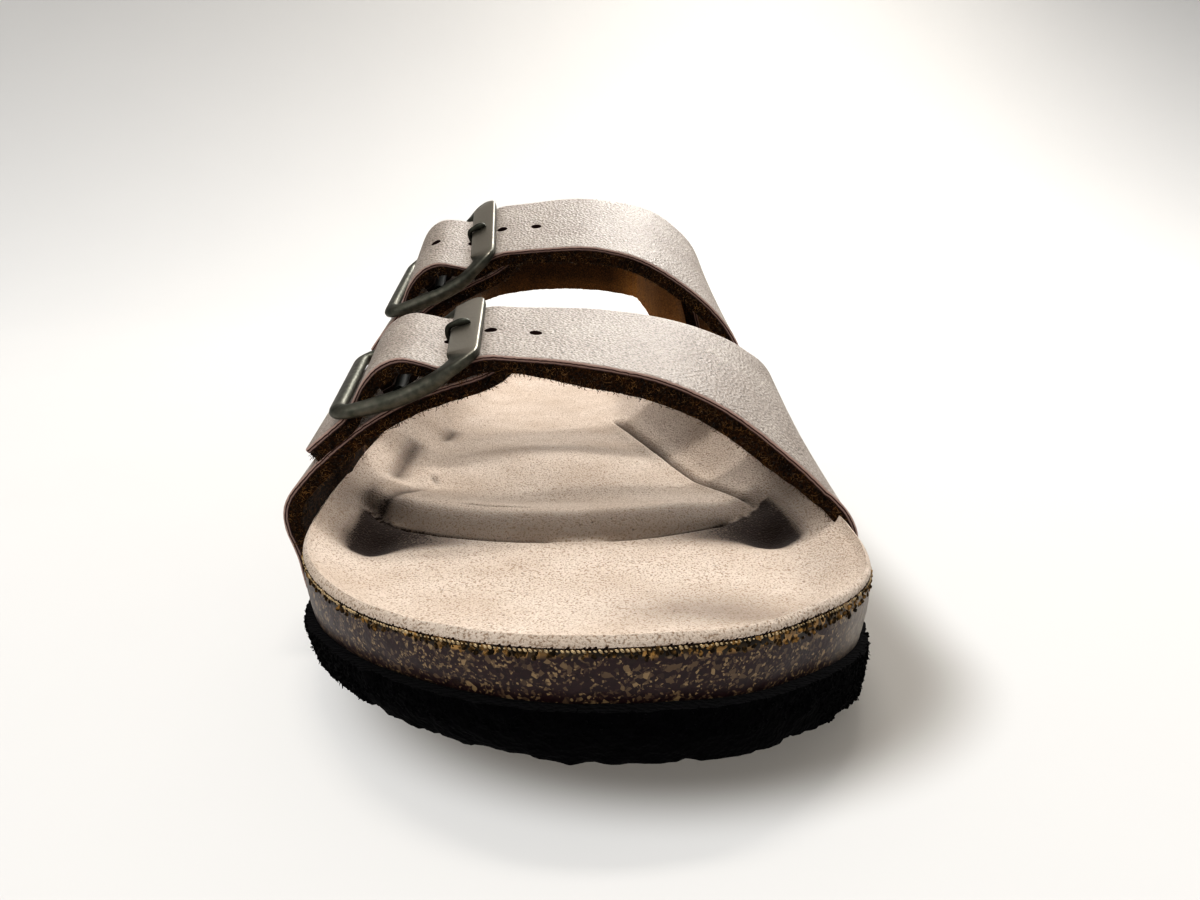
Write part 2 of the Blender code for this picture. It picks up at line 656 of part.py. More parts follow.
def make_buckle(name, sheet, bar_run, parts, cutters):
    """Metal frame: wide bar over the strap, bowed rails, outer bar, middle bar and prong."""
    middle_line = FREE_END_WIDTH / 2
    rings = []
    for (from_middle, across), way in zip(*buckle_path()):
        from_bar = from_middle - BUCKLE_LENGTH / 2
        height, wide, thick = (smooth(BUCKLE["from_bar"], BUCKLE[key], from_bar) for key in BUCKLE_COLUMNS[1:])
        rings.append(ring_at(sheet, bar_run + from_bar, middle_line + across, height, wide, thick, way, 8))
    frame = tube(name, rings, True, parts, PEWTER)
    reach = middle_line + BUCKLE_MARGIN
    radius = MIDDLE_BAR_RADIUS
    run = bar_run + MIDDLE_BAR_RUN
    bar = [
        ring_at(sheet, run, middle_line + across, MIDDLE_BAR_HEIGHT, radius, radius, (0.0, 1.0), 8)
        for across in np.linspace(-reach, reach, 5)
    ]
    boolean(frame, tube(f"{name}_middle_bar", bar, False, cutters), "UNION")
    prong = []
    rows = np.array(PRONG_ROWS)
    angle = 2 * np.pi * np.arange(8) / 8
    for i, (from_bar, height, radius) in enumerate(rows):
        ahead = rows[min(i + 1, len(rows) - 1)] - rows[max(i - 1, 0)]
        way = ahead[:2] / np.linalg.norm(ahead[:2])
        runs = bar_run + from_bar - way[1] * radius * np.cos(angle)
        heights = height + way[0] * radius * np.cos(angle)
        prong.append(lifted(sheet, runs, middle_line + radius * np.sin(angle), heights))
    boolean(frame, tube(f"{name}_prong", prong, False, cutters), "UNION")


def make_keeper(name, sheet, bar_run, parts):
    """Folded leather loop round the middle bar, its two ends lying on the tab."""
    inner = MIDDLE_BAR_RADIUS + GAP
    outer = inner + KEEPER_THICKNESS
    centre_height = MIDDLE_BAR_HEIGHT
    base = centre_height - outer
    tail_end = -KEEPER_TAIL
    fold = np.linspace(-0.5 * np.pi, 0.72 * np.pi, 10)
    profile = [(tail_end, base)]
    profile += [(outer * np.cos(a), centre_height + outer * np.sin(a)) for a in fold]
    profile += [(-4.2, base + 2 * KEEPER_THICKNESS + 0.2), (tail_end, base + 2 * KEEPER_THICKNESS + 0.2)]
    profile += [(tail_end, base + KEEPER_THICKNESS + 0.15), (-3.4, base + KEEPER_THICKNESS + 0.15)]
    profile += [(inner * np.cos(a), centre_height + inner * np.sin(a)) for a in fold[::-1]]
    profile += [(-2.6, base + KEEPER_THICKNESS), (tail_end, base + KEEPER_THICKNESS)]
    profile = np.array(profile)
    rings = [
        lifted(sheet, bar_run + MIDDLE_BAR_RUN + profile[:, 0], FREE_END_WIDTH / 2 + across, profile[:, 1])
        for across in (-KEEPER_WIDTH / 2, KEEPER_WIDTH / 2)
    ]
    tube(name, rings, False, parts, LOOP_LEATHER)


def make_heel_strap(rear, parts):
    """Strap round the heel, its ends laid inside the rear strap's two sides."""
    across = np.linspace(HEEL_LAP_START, 44.0, HEEL_LAP_STEPS)
    total = rear["run"][-1]
    clear = GAP + 0.1
    outer_low = lifted(rear, HEEL_OUTER_LOW_RUN, across, -clear)
    outer_high = lifted(rear, HEEL_OUTER_HIGH_RUN, across, -clear)
    inner_low = lifted(rear, total - HEEL_INNER_LOW_RUN, across, -clear)
    inner_high = lifted(rear, total - HEEL_INNER_HIGH_RUN, across, -clear)
    table = np.array(HEEL_ROWS)
    low = np.concatenate([outer_low, table[:, :3], inner_low[::-1]])
    high = np.concatenate([outer_high, table[:, 3:], inner_high[::-1]])
    step = np.linalg.norm(np.diff((low + high) / 2, axis=0), axis=1)
    run = np.concatenate([[0.0], np.cumsum(step)])
    at = np.linspace(0.0, run[-1], 46)
    low = np.stack([smooth(run, low[:, i], at) for i in range(3)], axis=1)
    high = np.stack([smooth(run, high[:, i], at) for i in range(3)], axis=1)
    over = np.stack([low, (low + high) / 2, high], axis=1)
    along = np.gradient(over, axis=0)
    up = np.repeat((high - low)[:, None, :], 3, axis=1)
    inward = np.cross(along, up)
    inward /= np.linalg.norm(inward, axis=2)[:, :, None]
    middle = np.array([0.0, 200.0, 62.0])
    if ((middle - over) * inward).sum() < 0:
        inward = -inward
    band("heel_strap", over + inward * HEEL_THICKNESS, over, parts, LEATHER)


def main():
    for obj in list(bpy.data.objects):
        bpy.data.objects.remove(obj)
    parts = bpy.data.collections.new("back_strap_sandal")
    cutters = bpy.data.collections.new("cutters")
    for collection in (parts, cutters):
        bpy.context.scene.collection.children.link(collection)
    make_sole(parts, cutters)
    front = strap_sheet(FRONT_STRAP_ROWS)
    rear = strap_sheet(REAR_STRAP_ROWS)
    for name, sheet, bar_run in (("front", front, FRONT_BAR_RUN), ("rear", rear, REAR_BAR_RUN)):
        make_strap(f"{name}_strap", sheet, bar_run, parts, cutters)
        make_tab(f"{name}_strap_tab", sheet, bar_run, parts)
        make_buckle(f"{name}_buckle", sheet, bar_run, parts, cutters)
        make_keeper(f"{name}_buckle_keeper", sheet, bar_run, parts)
    make_heel_strap(rear, parts)


main()
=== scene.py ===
"""Back-strap sandal for the right foot: the visible pieces, their finishes and the stage.

Tables are in millimetres, with X to the inner side of the foot, Y from the toe to the heel and
Z up from the floor. Meshes are made in metres in the part's own frame.
"""

from functools import partial
from math import radians

import bpy
import bmesh
import numpy as np
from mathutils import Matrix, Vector, geometry, kdtree, noise


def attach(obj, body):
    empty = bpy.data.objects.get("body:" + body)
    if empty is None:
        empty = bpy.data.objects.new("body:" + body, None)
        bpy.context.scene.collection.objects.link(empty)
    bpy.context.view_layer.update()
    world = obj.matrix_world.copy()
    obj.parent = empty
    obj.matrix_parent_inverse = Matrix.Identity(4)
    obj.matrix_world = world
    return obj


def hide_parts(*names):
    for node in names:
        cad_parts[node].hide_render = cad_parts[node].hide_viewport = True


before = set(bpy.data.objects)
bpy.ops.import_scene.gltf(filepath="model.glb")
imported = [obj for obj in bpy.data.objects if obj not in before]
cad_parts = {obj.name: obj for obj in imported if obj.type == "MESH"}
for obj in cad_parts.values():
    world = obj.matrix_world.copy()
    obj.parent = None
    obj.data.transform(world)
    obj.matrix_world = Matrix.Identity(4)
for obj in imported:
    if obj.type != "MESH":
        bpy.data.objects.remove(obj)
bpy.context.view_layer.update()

bl_info = {
    "name": "Back-strap sandal",
    "version": (1, 0, 0),
    "blender": (4, 5, 0),
    "location": "View3D > Sidebar > Sandal",
    "description": "Builds the visible pieces of a cork sandal with two buckled straps and a heel strap",
    "category": "Add Mesh",
}

MM = 0.001
LENGTH = 258.0
CENTRE_X = -1.3
GAP = 0.3
SHIFT = np.array([CENTRE_X, LENGTH / 2, 0.0])

# Sole sections: the cork's two sides, its seam at each side, the footbed's middle, base and tread
SOLE_COLUMNS = ("from_toe", "outer", "inner", "outer_rim", "inner_rim", "bed", "cork_base", "tread")
SOLE_ROWS = (
    (0.0, 1.0, 1.0, 32.0, 32.0, 30.4, 23.2, 13.8),
    (2.0, -11.5, 17.5, 31.7, 31.7, 29.7, 22.9, 13.5),
    (5.0, -18.0, 23.8, 31.2, 31.2, 28.6, 22.4, 13.0),
    (10.0, -25.3, 30.0, 30.4, 30.4, 27.1, 21.4, 12.2),
    (20.0, -35.0, 40.0, 29.1, 29.1, 24.5, 19.4, 10.2),
    (30.0, -41.6, 46.0, 28.0, 28.0, 22.5, 17.4, 7.6),
    (40.0, -46.4, 49.0, 27.2, 27.2, 21.2, 15.4, 3.8),
    (52.0, -50.0, 50.6, 26.5, 26.6, 20.5, 13.8, 0.0),
    (65.0, -51.4, 50.5, 26.2, 26.6, 20.5, 13.1, 0.0),
    (80.0, -51.4, 48.5, 26.4, 27.4, 20.8, 13.0, 0.0),
    (100.0, -49.6, 44.0, 27.5, 30.0, 21.8, 13.0, 0.0),
    (125.0, -46.0, 37.6, 29.5, 34.0, 22.6, 13.2, 0.6),
    (150.0, -42.0, 32.6, 31.5, 36.2, 22.4, 13.4, 1.2),
    (175.0, -38.2, 30.2, 33.5, 36.4, 21.4, 13.6, 0.8),
    (200.0, -35.0, 30.0, 35.0, 36.2, 20.5, 13.8, 0.0),
    (220.0, -32.0, 29.8, 36.0, 36.6, 20.4, 14.0, 0.0),
    (237.0, -26.4, 26.0, 37.0, 37.0, 22.0, 14.4, 0.0),
    (248.0, -18.2, 18.2, 37.6, 37.6, 25.0, 14.9, 0.6),
    (255.0, -9.2, 9.2, 38.0, 38.0, 29.5, 15.5, 1.8),
    (258.0, 0.0, 0.0, 38.2, 38.2, 32.0, 16.0, 2.6),
)
SOLE = dict(zip(SOLE_COLUMNS, np.array(SOLE_ROWS).T))
BALL_LINE_SLANT = 0.15

# Footbed
FOOTBED_THICKNESS = 1.4
FOOTBED_ROLL = 0.8
RIM_REACH = 16.0
RIM_CORNER = 10.5
ARCH_REACH = 9.0
ARCH_Y = 150.0
ARCH_SPREAD = 45.0
TOE_RIDGE_Y = 62.3
TOE_RIDGE_X = -1.5
TOE_RIDGE_BOW = 90.0
TOE_RIDGE_RISE = 6.5
TOE_RIDGE_FALL = 24.0
TOE_RIDGE_HEIGHT = 4.1
TOE_RIDGE_MARGIN = 7.0
# Share of the ridge's height that is lost at the inner side, where that begins and over how far
TOE_RIDGE_LOSS = 0.55
TOE_RIDGE_LOSS_X = 18.0
TOE_RIDGE_LOSS_REACH = 18.0
# How dark the painted shade is on the ridge's face, in the two pockets at its ends and along a crease
RIDGE_FACE_SHADE = 0.3
POCKET_SHADE = 0.85
CREASE_SHADE = 0.5
BALL_PAD_X = -5.0
BALL_PAD_Y = 113.0
BALL_PAD_RADIUS = 21.0
BALL_PAD_HEIGHT = 3.0
# Hollows at the ends of the ridge, and the raised toe bed: middle, the reach each way and depth
POCKETS = ((-42.0, 67.5, 6.0, 6.0, 3.0), (38.5, 66.5, 6.0, 5.5, 3.0), (0.0, 60.0, 44.0, 20.0, -2.2))

# Creases of the suede: depth, half width, and the places that the crease runs through
CREASES = (
    (0.85, 0.7, (
        (13.6, 162.0), (16.5, 148.0), (20.6, 129.0), (25.2, 112.5), (30.9, 96.7), (36.0, 85.0), (39.5, 78.5)
    )),
    (0.6, 0.7, ((-34.2, 109.5), (-32.6, 105.0), (-31.0, 99.3))),
    (0.5, 0.6, ((-25.5, 79.7), (-18.1, 76.5), (-12.0, 75.2), (-4.5, 73.9))),
    (0.6, 0.6, ((-38.0, 76.8), (-33.0, 73.2), (-28.0, 70.0), (-20.0, 66.0), (-11.0, 63.2), (-1.5, 62.2))),
    (0.6, 0.6, ((34.0, 76.3), (30.0, 73.3), (26.0, 70.4), (19.0, 66.6), (10.0, 63.4), (2.0, 62.2))),
    (0.8, 1.8, ((-42.0, 77.0), (-38.5, 88.0), (-33.0, 101.0))),
    (0.8, 2.4, ((-39.0, 131.0), (-40.0, 121.0), (-41.0, 108.0), (-41.5, 98.0))),
    (0.6, 2.0, ((-31.5, 152.0), (-32.5, 143.0), (-34.5, 134.0))),
)
# Darker places of the suede: middle, the reach each way and how dark. Some are painted shade, the rest darker
# patches
SHADES_AND_SMUDGES = (
    # Darker patches on the toe bed and its inner rim
    (20.0, 30.0, 14.0, 8.0, 0.3),
    (28.0, 24.0, 7.0, 4.0, 0.14),
    (43.0, 46.0, 7.0, 14.0, 0.12),
    # Painted shade on the walls under the front strap
    (-48.0, 84.0, 5.0, 11.0, 0.3),
    (45.0, 80.0, 4.5, 11.0, 0.3),
    # Painted shadow of the rear strap across the bed
    (-2.0, 123.0, 26.0, 4.5, 0.2),
    # Darker streaks across the bed
    (-18.0, 88.0, 18.0, 5.0, 0.08),
    (2.0, 98.0, 20.0, 6.0, 0.06),
    # Painted shade in the pockets at the ridge's ends
    (-43.0, 68.5, 4.5, 5.0, 0.55),
    (39.5, 67.5, 4.5, 4.5, 0.5),
)

# Cork side and outsole
CORK_DRAFT = 1.2
CORK_BULGE = 0.4
OUTSOLE_LEDGE = 0.5
OUTER_LEAN = 3.8
INNER_LEAN = 1.4
SIDE_BLEND = 35.0
GROOVE_FIRST = 7.0
GROOVE_PITCH = 16.5
GROOVE_COUNT = 15
GROOVE_WIDTH = 4.6
GROOVE_DEPTH = 3.4
GROOVE_WAVE = 4.0
GROOVE_WAVELENGTH = 24.0

# Straps: the face on the foot's side at the front and the back edge, from the outer side's base
# over the foot to the inner side's base
STRAP_THICKNESS = 2.8
FRONT_STRAP_ROWS = (
    (-51.0, 64.5, 14.0, -48.6, 106.0, 13.75),
    (-53.0, 64.2, 23.0, -50.4, 105.5, 25.0),
    (-53.5, 64.0, 29.5, -51.4, 104.5, 32.0),
    (-49.8, 64.0, 34.6, -49.4, 102.5, 38.0),
    (-44.6, 63.8, 39.5, -45.0, 100.0, 43.4),
    (-33.9, 63.5, 46.8, -34.5, 96.5, 51.4),
    (-19.2, 63.0, 52.2, -19.5, 95.0, 57.8),
    (-2.0, 62.5, 54.7, -2.0, 96.0, 60.6),
    (12.3, 62.0, 52.8, 12.5, 97.0, 59.8),
    (25.4, 61.5, 47.2, 26.4, 98.0, 56.6),
    (36.0, 61.0, 39.6, 36.6, 99.0, 52.0),
    (45.8, 60.0, 30.6, 43.6, 100.5, 44.5),
    (51.0, 59.0, 23.8, 46.4, 102.5, 33.0),
    (50.0, 58.5, 13.75, 43.0, 104.0, 13.75),
)
REAR_STRAP_ROWS = (
    (-47.0, 113.0, 13.8, -39.0, 164.0, 14.1),
    (-47.8, 114.0, 30.0, -42.0, 163.0, 33.0),
    (-46.2, 116.0, 41.0, -41.2, 161.0, 46.0),
    (-41.2, 117.5, 50.5, -37.6, 157.0, 58.8),
    (-33.2, 118.0, 58.5, -31.0, 154.0, 69.2),
    (-20.6, 118.0, 65.4, -21.0, 152.0, 77.0),
    (-6.0, 118.0, 71.0, -7.0, 151.0, 81.8),
    (6.0, 118.0, 72.5, 6.5, 151.0, 83.2),
    (14.0, 118.0, 70.9, 17.0, 151.5, 82.0),
    (26.0, 117.5, 64.4, 27.5, 153.0, 77.0),
    (32.8, 117.0, 58.8, 33.2, 154.5, 71.0),
    (38.2, 116.5, 51.5, 36.6, 157.0, 61.0),
    (40.9, 115.5, 40.0, 37.0, 160.0, 46.0),
    (38.0, 113.0, 13.8, 31.0, 163.0, 14.1),
)
FLUSH_BLEND = 8.0

# Height of each strap's free end over the foot side, by its distance from the buckle's wide bar
LIFT_ROWS = (
    (-32.0, 3.1),
    (-26.0, 3.1),
    (-23.0, 3.4),
    (-20.0, 4.9),
    (-17.0, 6.9),
    (-12.5, 8.4),
    (-9.8, 7.9),
    (-7.0, 5.8),
    (-4.4, 3.8),
    (-2.5, 3.6),
    (0.0, 3.8),
    (2.2, 3.9),
    (4.2, 3.7),
    (6.5, 3.0),
    (9.8, 2.1),
    (14.0, 1.3),
    (20.0, 0.5),
    (27.0, 0.0),
)
LIFT = np.array(LIFT_ROWS).T
FREE_END_WIDTH = 30.0
FREE_END_BLEND = 26.0
TAB_PAST_BAR = 8.0
TAB_ROUND = 9.0
TAB_INSET = 1.2
TAB_PULL = 2.8

# Buckle, by its distance from the wide bar and its height over the strap's foot side
BUCKLE_LENGTH = 23.0
BUCKLE_MARGIN = 2.5
BUCKLE_CORNER = 2.7
BUCKLE_COLUMNS = ("from_bar", "height", "half_width", "half_thickness", "squareness")
BUCKLE_ROWS = (
    (-23.0, 7.8, 1.5, 1.2, 2.2),
    (-18.5, 5.8, 1.6, 1.5, 2.2),
    (-11.5, 4.5, 1.6, 1.6, 2.2),
    (-5.2, 5.4, 1.8, 1.5, 2.6),
    (0.0, 7.9, 2.8, 0.9, 6.0),
)
BUCKLE = dict(zip(BUCKLE_COLUMNS, np.array(BUCKLE_ROWS).T))
BUCKLE_SIDES = 20
MIDDLE_BAR_RUN = -12.0
MIDDLE_BAR_HEIGHT = 5.6
MIDDLE_BAR_RADIUS = 1.1
MIDDLE_BAR_RINGS = 9
BAR_SIDES = 12
# How far the metal is rubbed bright: the frame, the top of the wide bar more with its sides left darker as
# painted shade, and the middle bar, darkened below zero as painted shade
FRAME_WORN = 0.18
WIDE_BAR_WEAR_AND_SHADE = 0.62
MIDDLE_BAR_SHADE = -0.4
# Prong by its distance from the wide bar, height and radius
PRONG_ROWS = (
    (0.6, 8.6, 0.4),
    (0.2, 9.1, 0.7),
    (-0.7, 9.4, 0.75),
    (-1.8, 9.4, 0.6),
    (-3.0, 9.1, 0.55),
    (-3.6, 7.7, 0.5),
    (-3.6, 5.8, 0.45),
)
KEEPER_THICKNESS = 1.1
KEEPER_WIDTH = 12.0
KEEPER_TAIL = 5.5

# Heel strap: its outer face at the lower and the upper edge, from the outer side round the heel
HEEL_THICKNESS = 2.8
HEEL_ROWS = (
    (-35.6, 178.0, 52.0, -32.6, 176.0, 72.0),
    (-34.2, 196.0, 51.0, -32.0, 195.0, 72.0),
    (-32.4, 214.0, 50.6, -31.0, 213.0, 72.2),
    (-28.4, 230.0, 51.2, -27.8, 229.0, 72.8),
    (-20.4, 240.6, 52.2, -20.2, 239.8, 73.6),
    (-10.0, 245.4, 53.0, -10.0, 244.7, 74.2),
    (0.0, 246.8, 53.2, 0.0, 246.0, 74.4),
    (10.0, 246.2, 53.0, 10.0, 245.5, 74.2),
    (21.0, 243.6, 52.2, 20.8, 242.8, 73.6),
    (29.2, 235.6, 51.2, 28.6, 234.6, 72.8),
    (31.9, 218.0, 49.6, 30.5, 217.0, 72.2),
    (32.4, 198.0, 48.4, 30.0, 197.0, 72.0),
    (33.2, 180.0, 48.6, 30.0, 178.0, 72.0),
)
HEEL_LAP_START = 31.0
HEEL_LAP_END = 44.0
HEEL_LAP_STEPS = 4
HEEL_OUTER_LOW_RUN = 33.0
HEEL_OUTER_HIGH_RUN = 53.0
HEEL_INNER_LOW_RUN = 29.5
HEEL_INNER_HIGH_RUN = 49.0
HEEL_MIDDLE = np.array([0.0, 200.0, 62.0])
# Soft upright wrinkles inside the heel strap: share of its length, depth, half width in millimetres
HEEL_WRINKLES = ((0.605, 0.5, 1.3), (0.622, 0.7, 1.2), (0.64, 0.45, 1.6), (0.38, 0.3, 1.6))

# Stage, in metres. The paper's painted glow leaves a painted shadow under the sole: its place aside and
# along, how much it narrows across, its straight half length, and the reach over which it fades
SWEEP_HALF_WIDTH = 4.0
SWEEP_HEIGHT = 2.5
SHADE_ASIDE = 0.0144
SHADE_ALONG = 0.008
SHADE_NARROWING = 0.8
SHADE_STRAIGHT = 0.082
SHADE_REACH = (0.036, 0.053)
# The painted glow's colour, its share up on the wall and the height at which it falls to that share
GLOW_COLOUR = (0.96, 0.98, 1.0, 1.0)
WALL_GLOW = 0.25
WALL_GLOW_HEIGHT = 0.5
# Where the room's light is strongest, and how bright the camera sees the room
ROOM_LIGHT_WAY = (0.1, 0.3, 0.93)
ROOM_SEEN = 0.8
LIGHT_COLOUR = (1.0, 0.985, 0.96)
# Area lights: name, place, aim, size, the stage's power for it and whether it casts shadows. The fill
# from behind casts none, because the straps would keep it off the footbed
LIGHTS = (
    ("overhead_strip", (-0.03, -0.03, 1.3), (-0.03, 0.0, 0.0), (0.45, 0.14), "overhead_power", True),
    ("back_fill", (0.28, 0.6, 0.62), (0.0, -0.03, 0.02), (0.4, 0.3), "back_power", False),
    ("front_softbox", (-0.45, -0.85, 0.6), (0.0, -0.05, 0.02), (0.8, 0.6), "front_power", True),
)
CAMERA_SENSOR = 36.0
CAMERA_LENS = 28.2
CAMERA_PLACE = (-0.0052, -0.2377, 0.0885)
CAMERA_TURN = (74.5, 0.0, -3.5)
FULL_TURN = 6.28


def linear(code):
    """Linear colour of an sRGB hex value."""
    parts = [int(code[i:i + 2], 16) / 255 for i in (1, 3, 5)]
    return tuple(p / 12.92 if p <= 0.04045 else ((p + 0.055) / 1.055) ** 2.4 for p in parts)


def smooth(knots, values, at):
    """Cubic curve through the values at the knots, read at the given places."""
    knots = np.asarray(knots, float)
    values = np.asarray(values, float)
    at = np.asarray(at, float)
    slopes = np.gradient(values, knots)
    i = np.clip(np.searchsorted(knots, at) - 1, 0, len(knots) - 2)
    step = knots[i + 1] - knots[i]
    t = np.clip((at - knots[i]) / step, 0.0, 1.0)
    start = (1 + 2 * t) * (1 - t) ** 2 * values[i] + t * (1 - t) ** 2 * step * slopes[i]
    end = t ** 2 * (3 - 2 * t) * values[i + 1] + t ** 2 * (t - 1) * step * slopes[i + 1]
    return start + end


def ease(t):
    t = np.clip(t, 0.0, 1.0)
    return t * t * (3 - 2 * t)


def run_along(points):
    """Distance from the first of a row of points to each."""
    return np.concatenate([[0.0], np.cumsum(np.linalg.norm(np.diff(points, axis=0), axis=1))])


def lumps(points, size, seed):
    """Smooth noise from about -1 to 1 with lumps of a size in millimetres."""
    place = np.asarray(points, float).reshape(-1, 3) / size + np.array([seed * 7.3, seed * 3.1, seed * 5.7])
    made = np.array([noise.noise(Vector(p)) for p in place])
    return made.reshape(np.shape(points)[:-1])


def sole_height(name, from_toe):
    return smooth(SOLE["from_toe"], SOLE[name], np.clip(from_toe, 0.0, LENGTH))


def base_height(name, x, from_toe):
    """Height of the cork's base or the tread, whose toe spring bends along the slanted ball line."""
    return np.maximum(sole_height(name, np.asarray(from_toe) + BALL_LINE_SLANT * np.asarray(x)), 0.0)


def turn_of(from_toe):
    """Angle that runs evenly round the toe and the heel."""
    return np.arccos(np.clip(1 - 2 * np.asarray(from_toe, float) / LENGTH, -1.0, 1.0))


def outline_x(turn):
    """Side of the cork at a turn from the toe: above 0 on the inner side, below 0 on the outer."""
    angle = turn_of(SOLE["from_toe"])
    knots = np.concatenate([-angle[::-1], angle[1:]])
    values = np.concatenate([SOLE["outer"][::-1], SOLE["inner"][1:]])
    knots = np.concatenate([[knots[0] - (np.pi - angle[-2])], knots, [knots[-1] + np.pi - angle[-2]]])
    values = np.concatenate([[SOLE["inner"][-2]], values, [SOLE["outer"][-2]]])
    return smooth(knots, values, turn)


def outline_at(turn):
    """Plan of the cork's seam at each turn, and its outward directions."""
    points = np.stack([outline_x(turn), LENGTH / 2 * (1 - np.cos(turn))], axis=1)
    ahead = np.stack([outline_x(turn + 1e-3), LENGTH / 2 * (1 - np.cos(turn + 1e-3))], axis=1)
    behind = np.stack([outline_x(turn - 1e-3), LENGTH / 2 * (1 - np.cos(turn - 1e-3))], axis=1)
    along = ahead - behind
    outward = np.stack([along[:, 1], -along[:, 0]], axis=1)
    return points, outward / np.linalg.norm(outward, axis=1)[:, None]


def even_turns(count):
    """Turns that lie evenly along the outline."""
    fine = np.linspace(-np.pi, np.pi, 4001)
    points, _ = outline_at(fine)
    run = run_along(points)
    return np.interp(np.linspace(0.0, run[-1], count + 1)[:-1], run, fine)


def edge_depth(x, y):
    """Distance inside the outline, and the nearest place on it."""
    edge, _ = outline_at(even_turns(720))
    tree = kdtree.KDTree(len(edge))
    for i, p in enumerate(edge):
        tree.insert((p[0], p[1], 0.0), i)
    tree.balance()
    at = np.stack([x, y], axis=1)
    near = np.array([tree.find((p[0], p[1], 0.0))[1] for p in at])
    best = np.full(len(at), np.inf)
    place = np.zeros_like(at)
    for step in (-1, 1):
        a = edge[near]
        b = edge[(near + step) % len(edge)]
        t = np.clip(((at - a) * (b - a)).sum(axis=1) / ((b - a) ** 2).sum(axis=1), 0.0, 1.0)
        foot = a + (b - a) * t[:, None]
        away = np.linalg.norm(at - foot, axis=1)
        closer = away < best
        best[closer] = away[closer]
        place[closer] = foot[closer]
    return best, place


def rim_height(x, from_toe):
    outer = sole_height("outer_rim", from_toe)
    inner = sole_height("inner_rim", from_toe)
    return np.where(np.asarray(x) > 0, inner, outer) + FOOTBED_THICKNESS


def footbed_height(x, y):
    """Upper face of the footbed: rim, toe-grip ridge, ball pad, arch and heel cup."""
    depth, place = edge_depth(x, y)
    rim = rim_height(place[:, 0], place[:, 1])
    arch = np.exp(-((place[:, 1] - ARCH_Y) / ARCH_SPREAD) ** 2) * (place[:, 0] > 0)
    reach = RIM_REACH + ARCH_REACH * arch
    inside = 0.5 * np.clip(1 - depth / reach, 0.0, 1.0) ** 2.1
    inside += 0.5 * np.clip(1 - depth * RIM_REACH / (reach * RIM_CORNER), 0.0, 1.0) ** 1.25
    bed = sole_height("bed", y)
    foot = past_ridge_foot(x, y)
    rise = 1 - (1 - np.clip(foot / TOE_RIDGE_RISE, 0.0, 1.0)) ** 2
    fall = 1 - ease((foot - TOE_RIDGE_RISE) / TOE_RIDGE_FALL)
    ridge = TOE_RIDGE_HEIGHT * rise * fall * ease((depth - 1.5) / TOE_RIDGE_MARGIN)
    ridge *= 1 - TOE_RIDGE_LOSS * ease((x - TOE_RIDGE_LOSS_X) / TOE_RIDGE_LOSS_REACH)
    pad = BALL_PAD_HEIGHT * np.exp(-((x - BALL_PAD_X) ** 2 + (y - BALL_PAD_Y) ** 2) / BALL_PAD_RADIUS ** 2)
    low = bed + ridge + pad
    for at_x, at_y, reach_x, reach_y, deep in POCKETS:
        low = low - deep * np.exp(-((x - at_x) / reach_x) ** 2 - ((y - at_y) / reach_y) ** 2)
    return low + (rim - low) * inside


def cork_side(x_sign, y, z):
    """Plan position of the cork's side wall at a height, with its draft."""
    turn = turn_of(y) * x_sign
    base = base_height("cork_base", outline_x(turn), y)
    rim = np.where(x_sign > 0, sole_height("inner_rim", y), sole_height("outer_rim", y))
    down = np.clip((rim - z) / (rim - base), 0.0, 1.0)
    inset = CORK_DRAFT * down - CORK_BULGE * np.sin(np.pi * down)
    return outline_x(turn) - x_sign * inset


def strap_sheet(rows):
    """Knots of a strap's sheet: its run along the front edge and its two edges."""
    table = np.array(rows)
    return {"run": run_along(table[:, :3]), "edges": table}


def sheet_point(sheet, run, across):
    """Foot side of the sheet at a run and at millimetres from its front edge."""
    edges = [smooth(sheet["run"], sheet["edges"][:, i], run) for i in range(6)]
    front = np.stack(edges[:3], axis=-1)
    back = np.stack(edges[3:], axis=-1)
    width = np.linalg.norm(back - front, axis=-1, keepdims=True)
    point = front + (back - front) / width * np.asarray(across)[..., None]
    sign = np.where(np.asarray(run) < sheet["run"][-1] / 2, -1.0, 1.0)
    y = point[..., 1]
    rim = np.where(sign > 0, sole_height("inner_rim", y), sole_height("outer_rim", y))
    wall = cork_side(sign, y, point[..., 2]) + sign * (GAP + 0.05)
    over_rim = point[..., 2] - rim
    free = ease((over_rim + FLUSH_BLEND) / FLUSH_BLEND)
    stand_off = sign * (point[..., 0] - wall) * free
    give = 0.08 * np.maximum(over_rim + 4.0, 0.0) ** 2
    point[..., 0] = wall + sign * np.maximum(stand_off, -give)
    return point


def sheet_width(sheet, run):
    edges = [smooth(sheet["run"], sheet["edges"][:, i], run) for i in range(6)]
    return np.linalg.norm(np.stack(edges[3:], axis=-1) - np.stack(edges[:3], axis=-1), axis=-1)


def sheet_normal(sheet, run, across):
    """Direction away from the foot."""
    low = np.clip(run - 0.5, 0.0, sheet["run"][-1])
    high = np.clip(run + 0.5, 0.0, sheet["run"][-1])
    along = sheet_point(sheet, high, across) - sheet_point(sheet, low, across)
    side = sheet_point(sheet, run, across + 0.5) - sheet_point(sheet, run, across - 0.5)
    normal = np.cross(along, side)
    return normal / np.linalg.norm(normal, axis=-1, keepdims=True)


def lifted(sheet, run, across, height):
    """Point of the sheet, raised from the foot side by a height."""
    run, across, height = np.broadcast_arrays(*(np.asarray(v, float) for v in (run, across, height)))
    return sheet_point(sheet, run, across) + sheet_normal(sheet, run, across) * height[..., None]


def strap_lift(from_bar):
    return smooth(LIFT[0], LIFT[1], from_bar)


def free_end_width(sheet, bar_run, run):
    full = sheet_width(sheet, run)
    share = ease((run - bar_run) / FREE_END_BLEND)
    return np.minimum(full, FREE_END_WIDTH) * (1 - share) + full * share
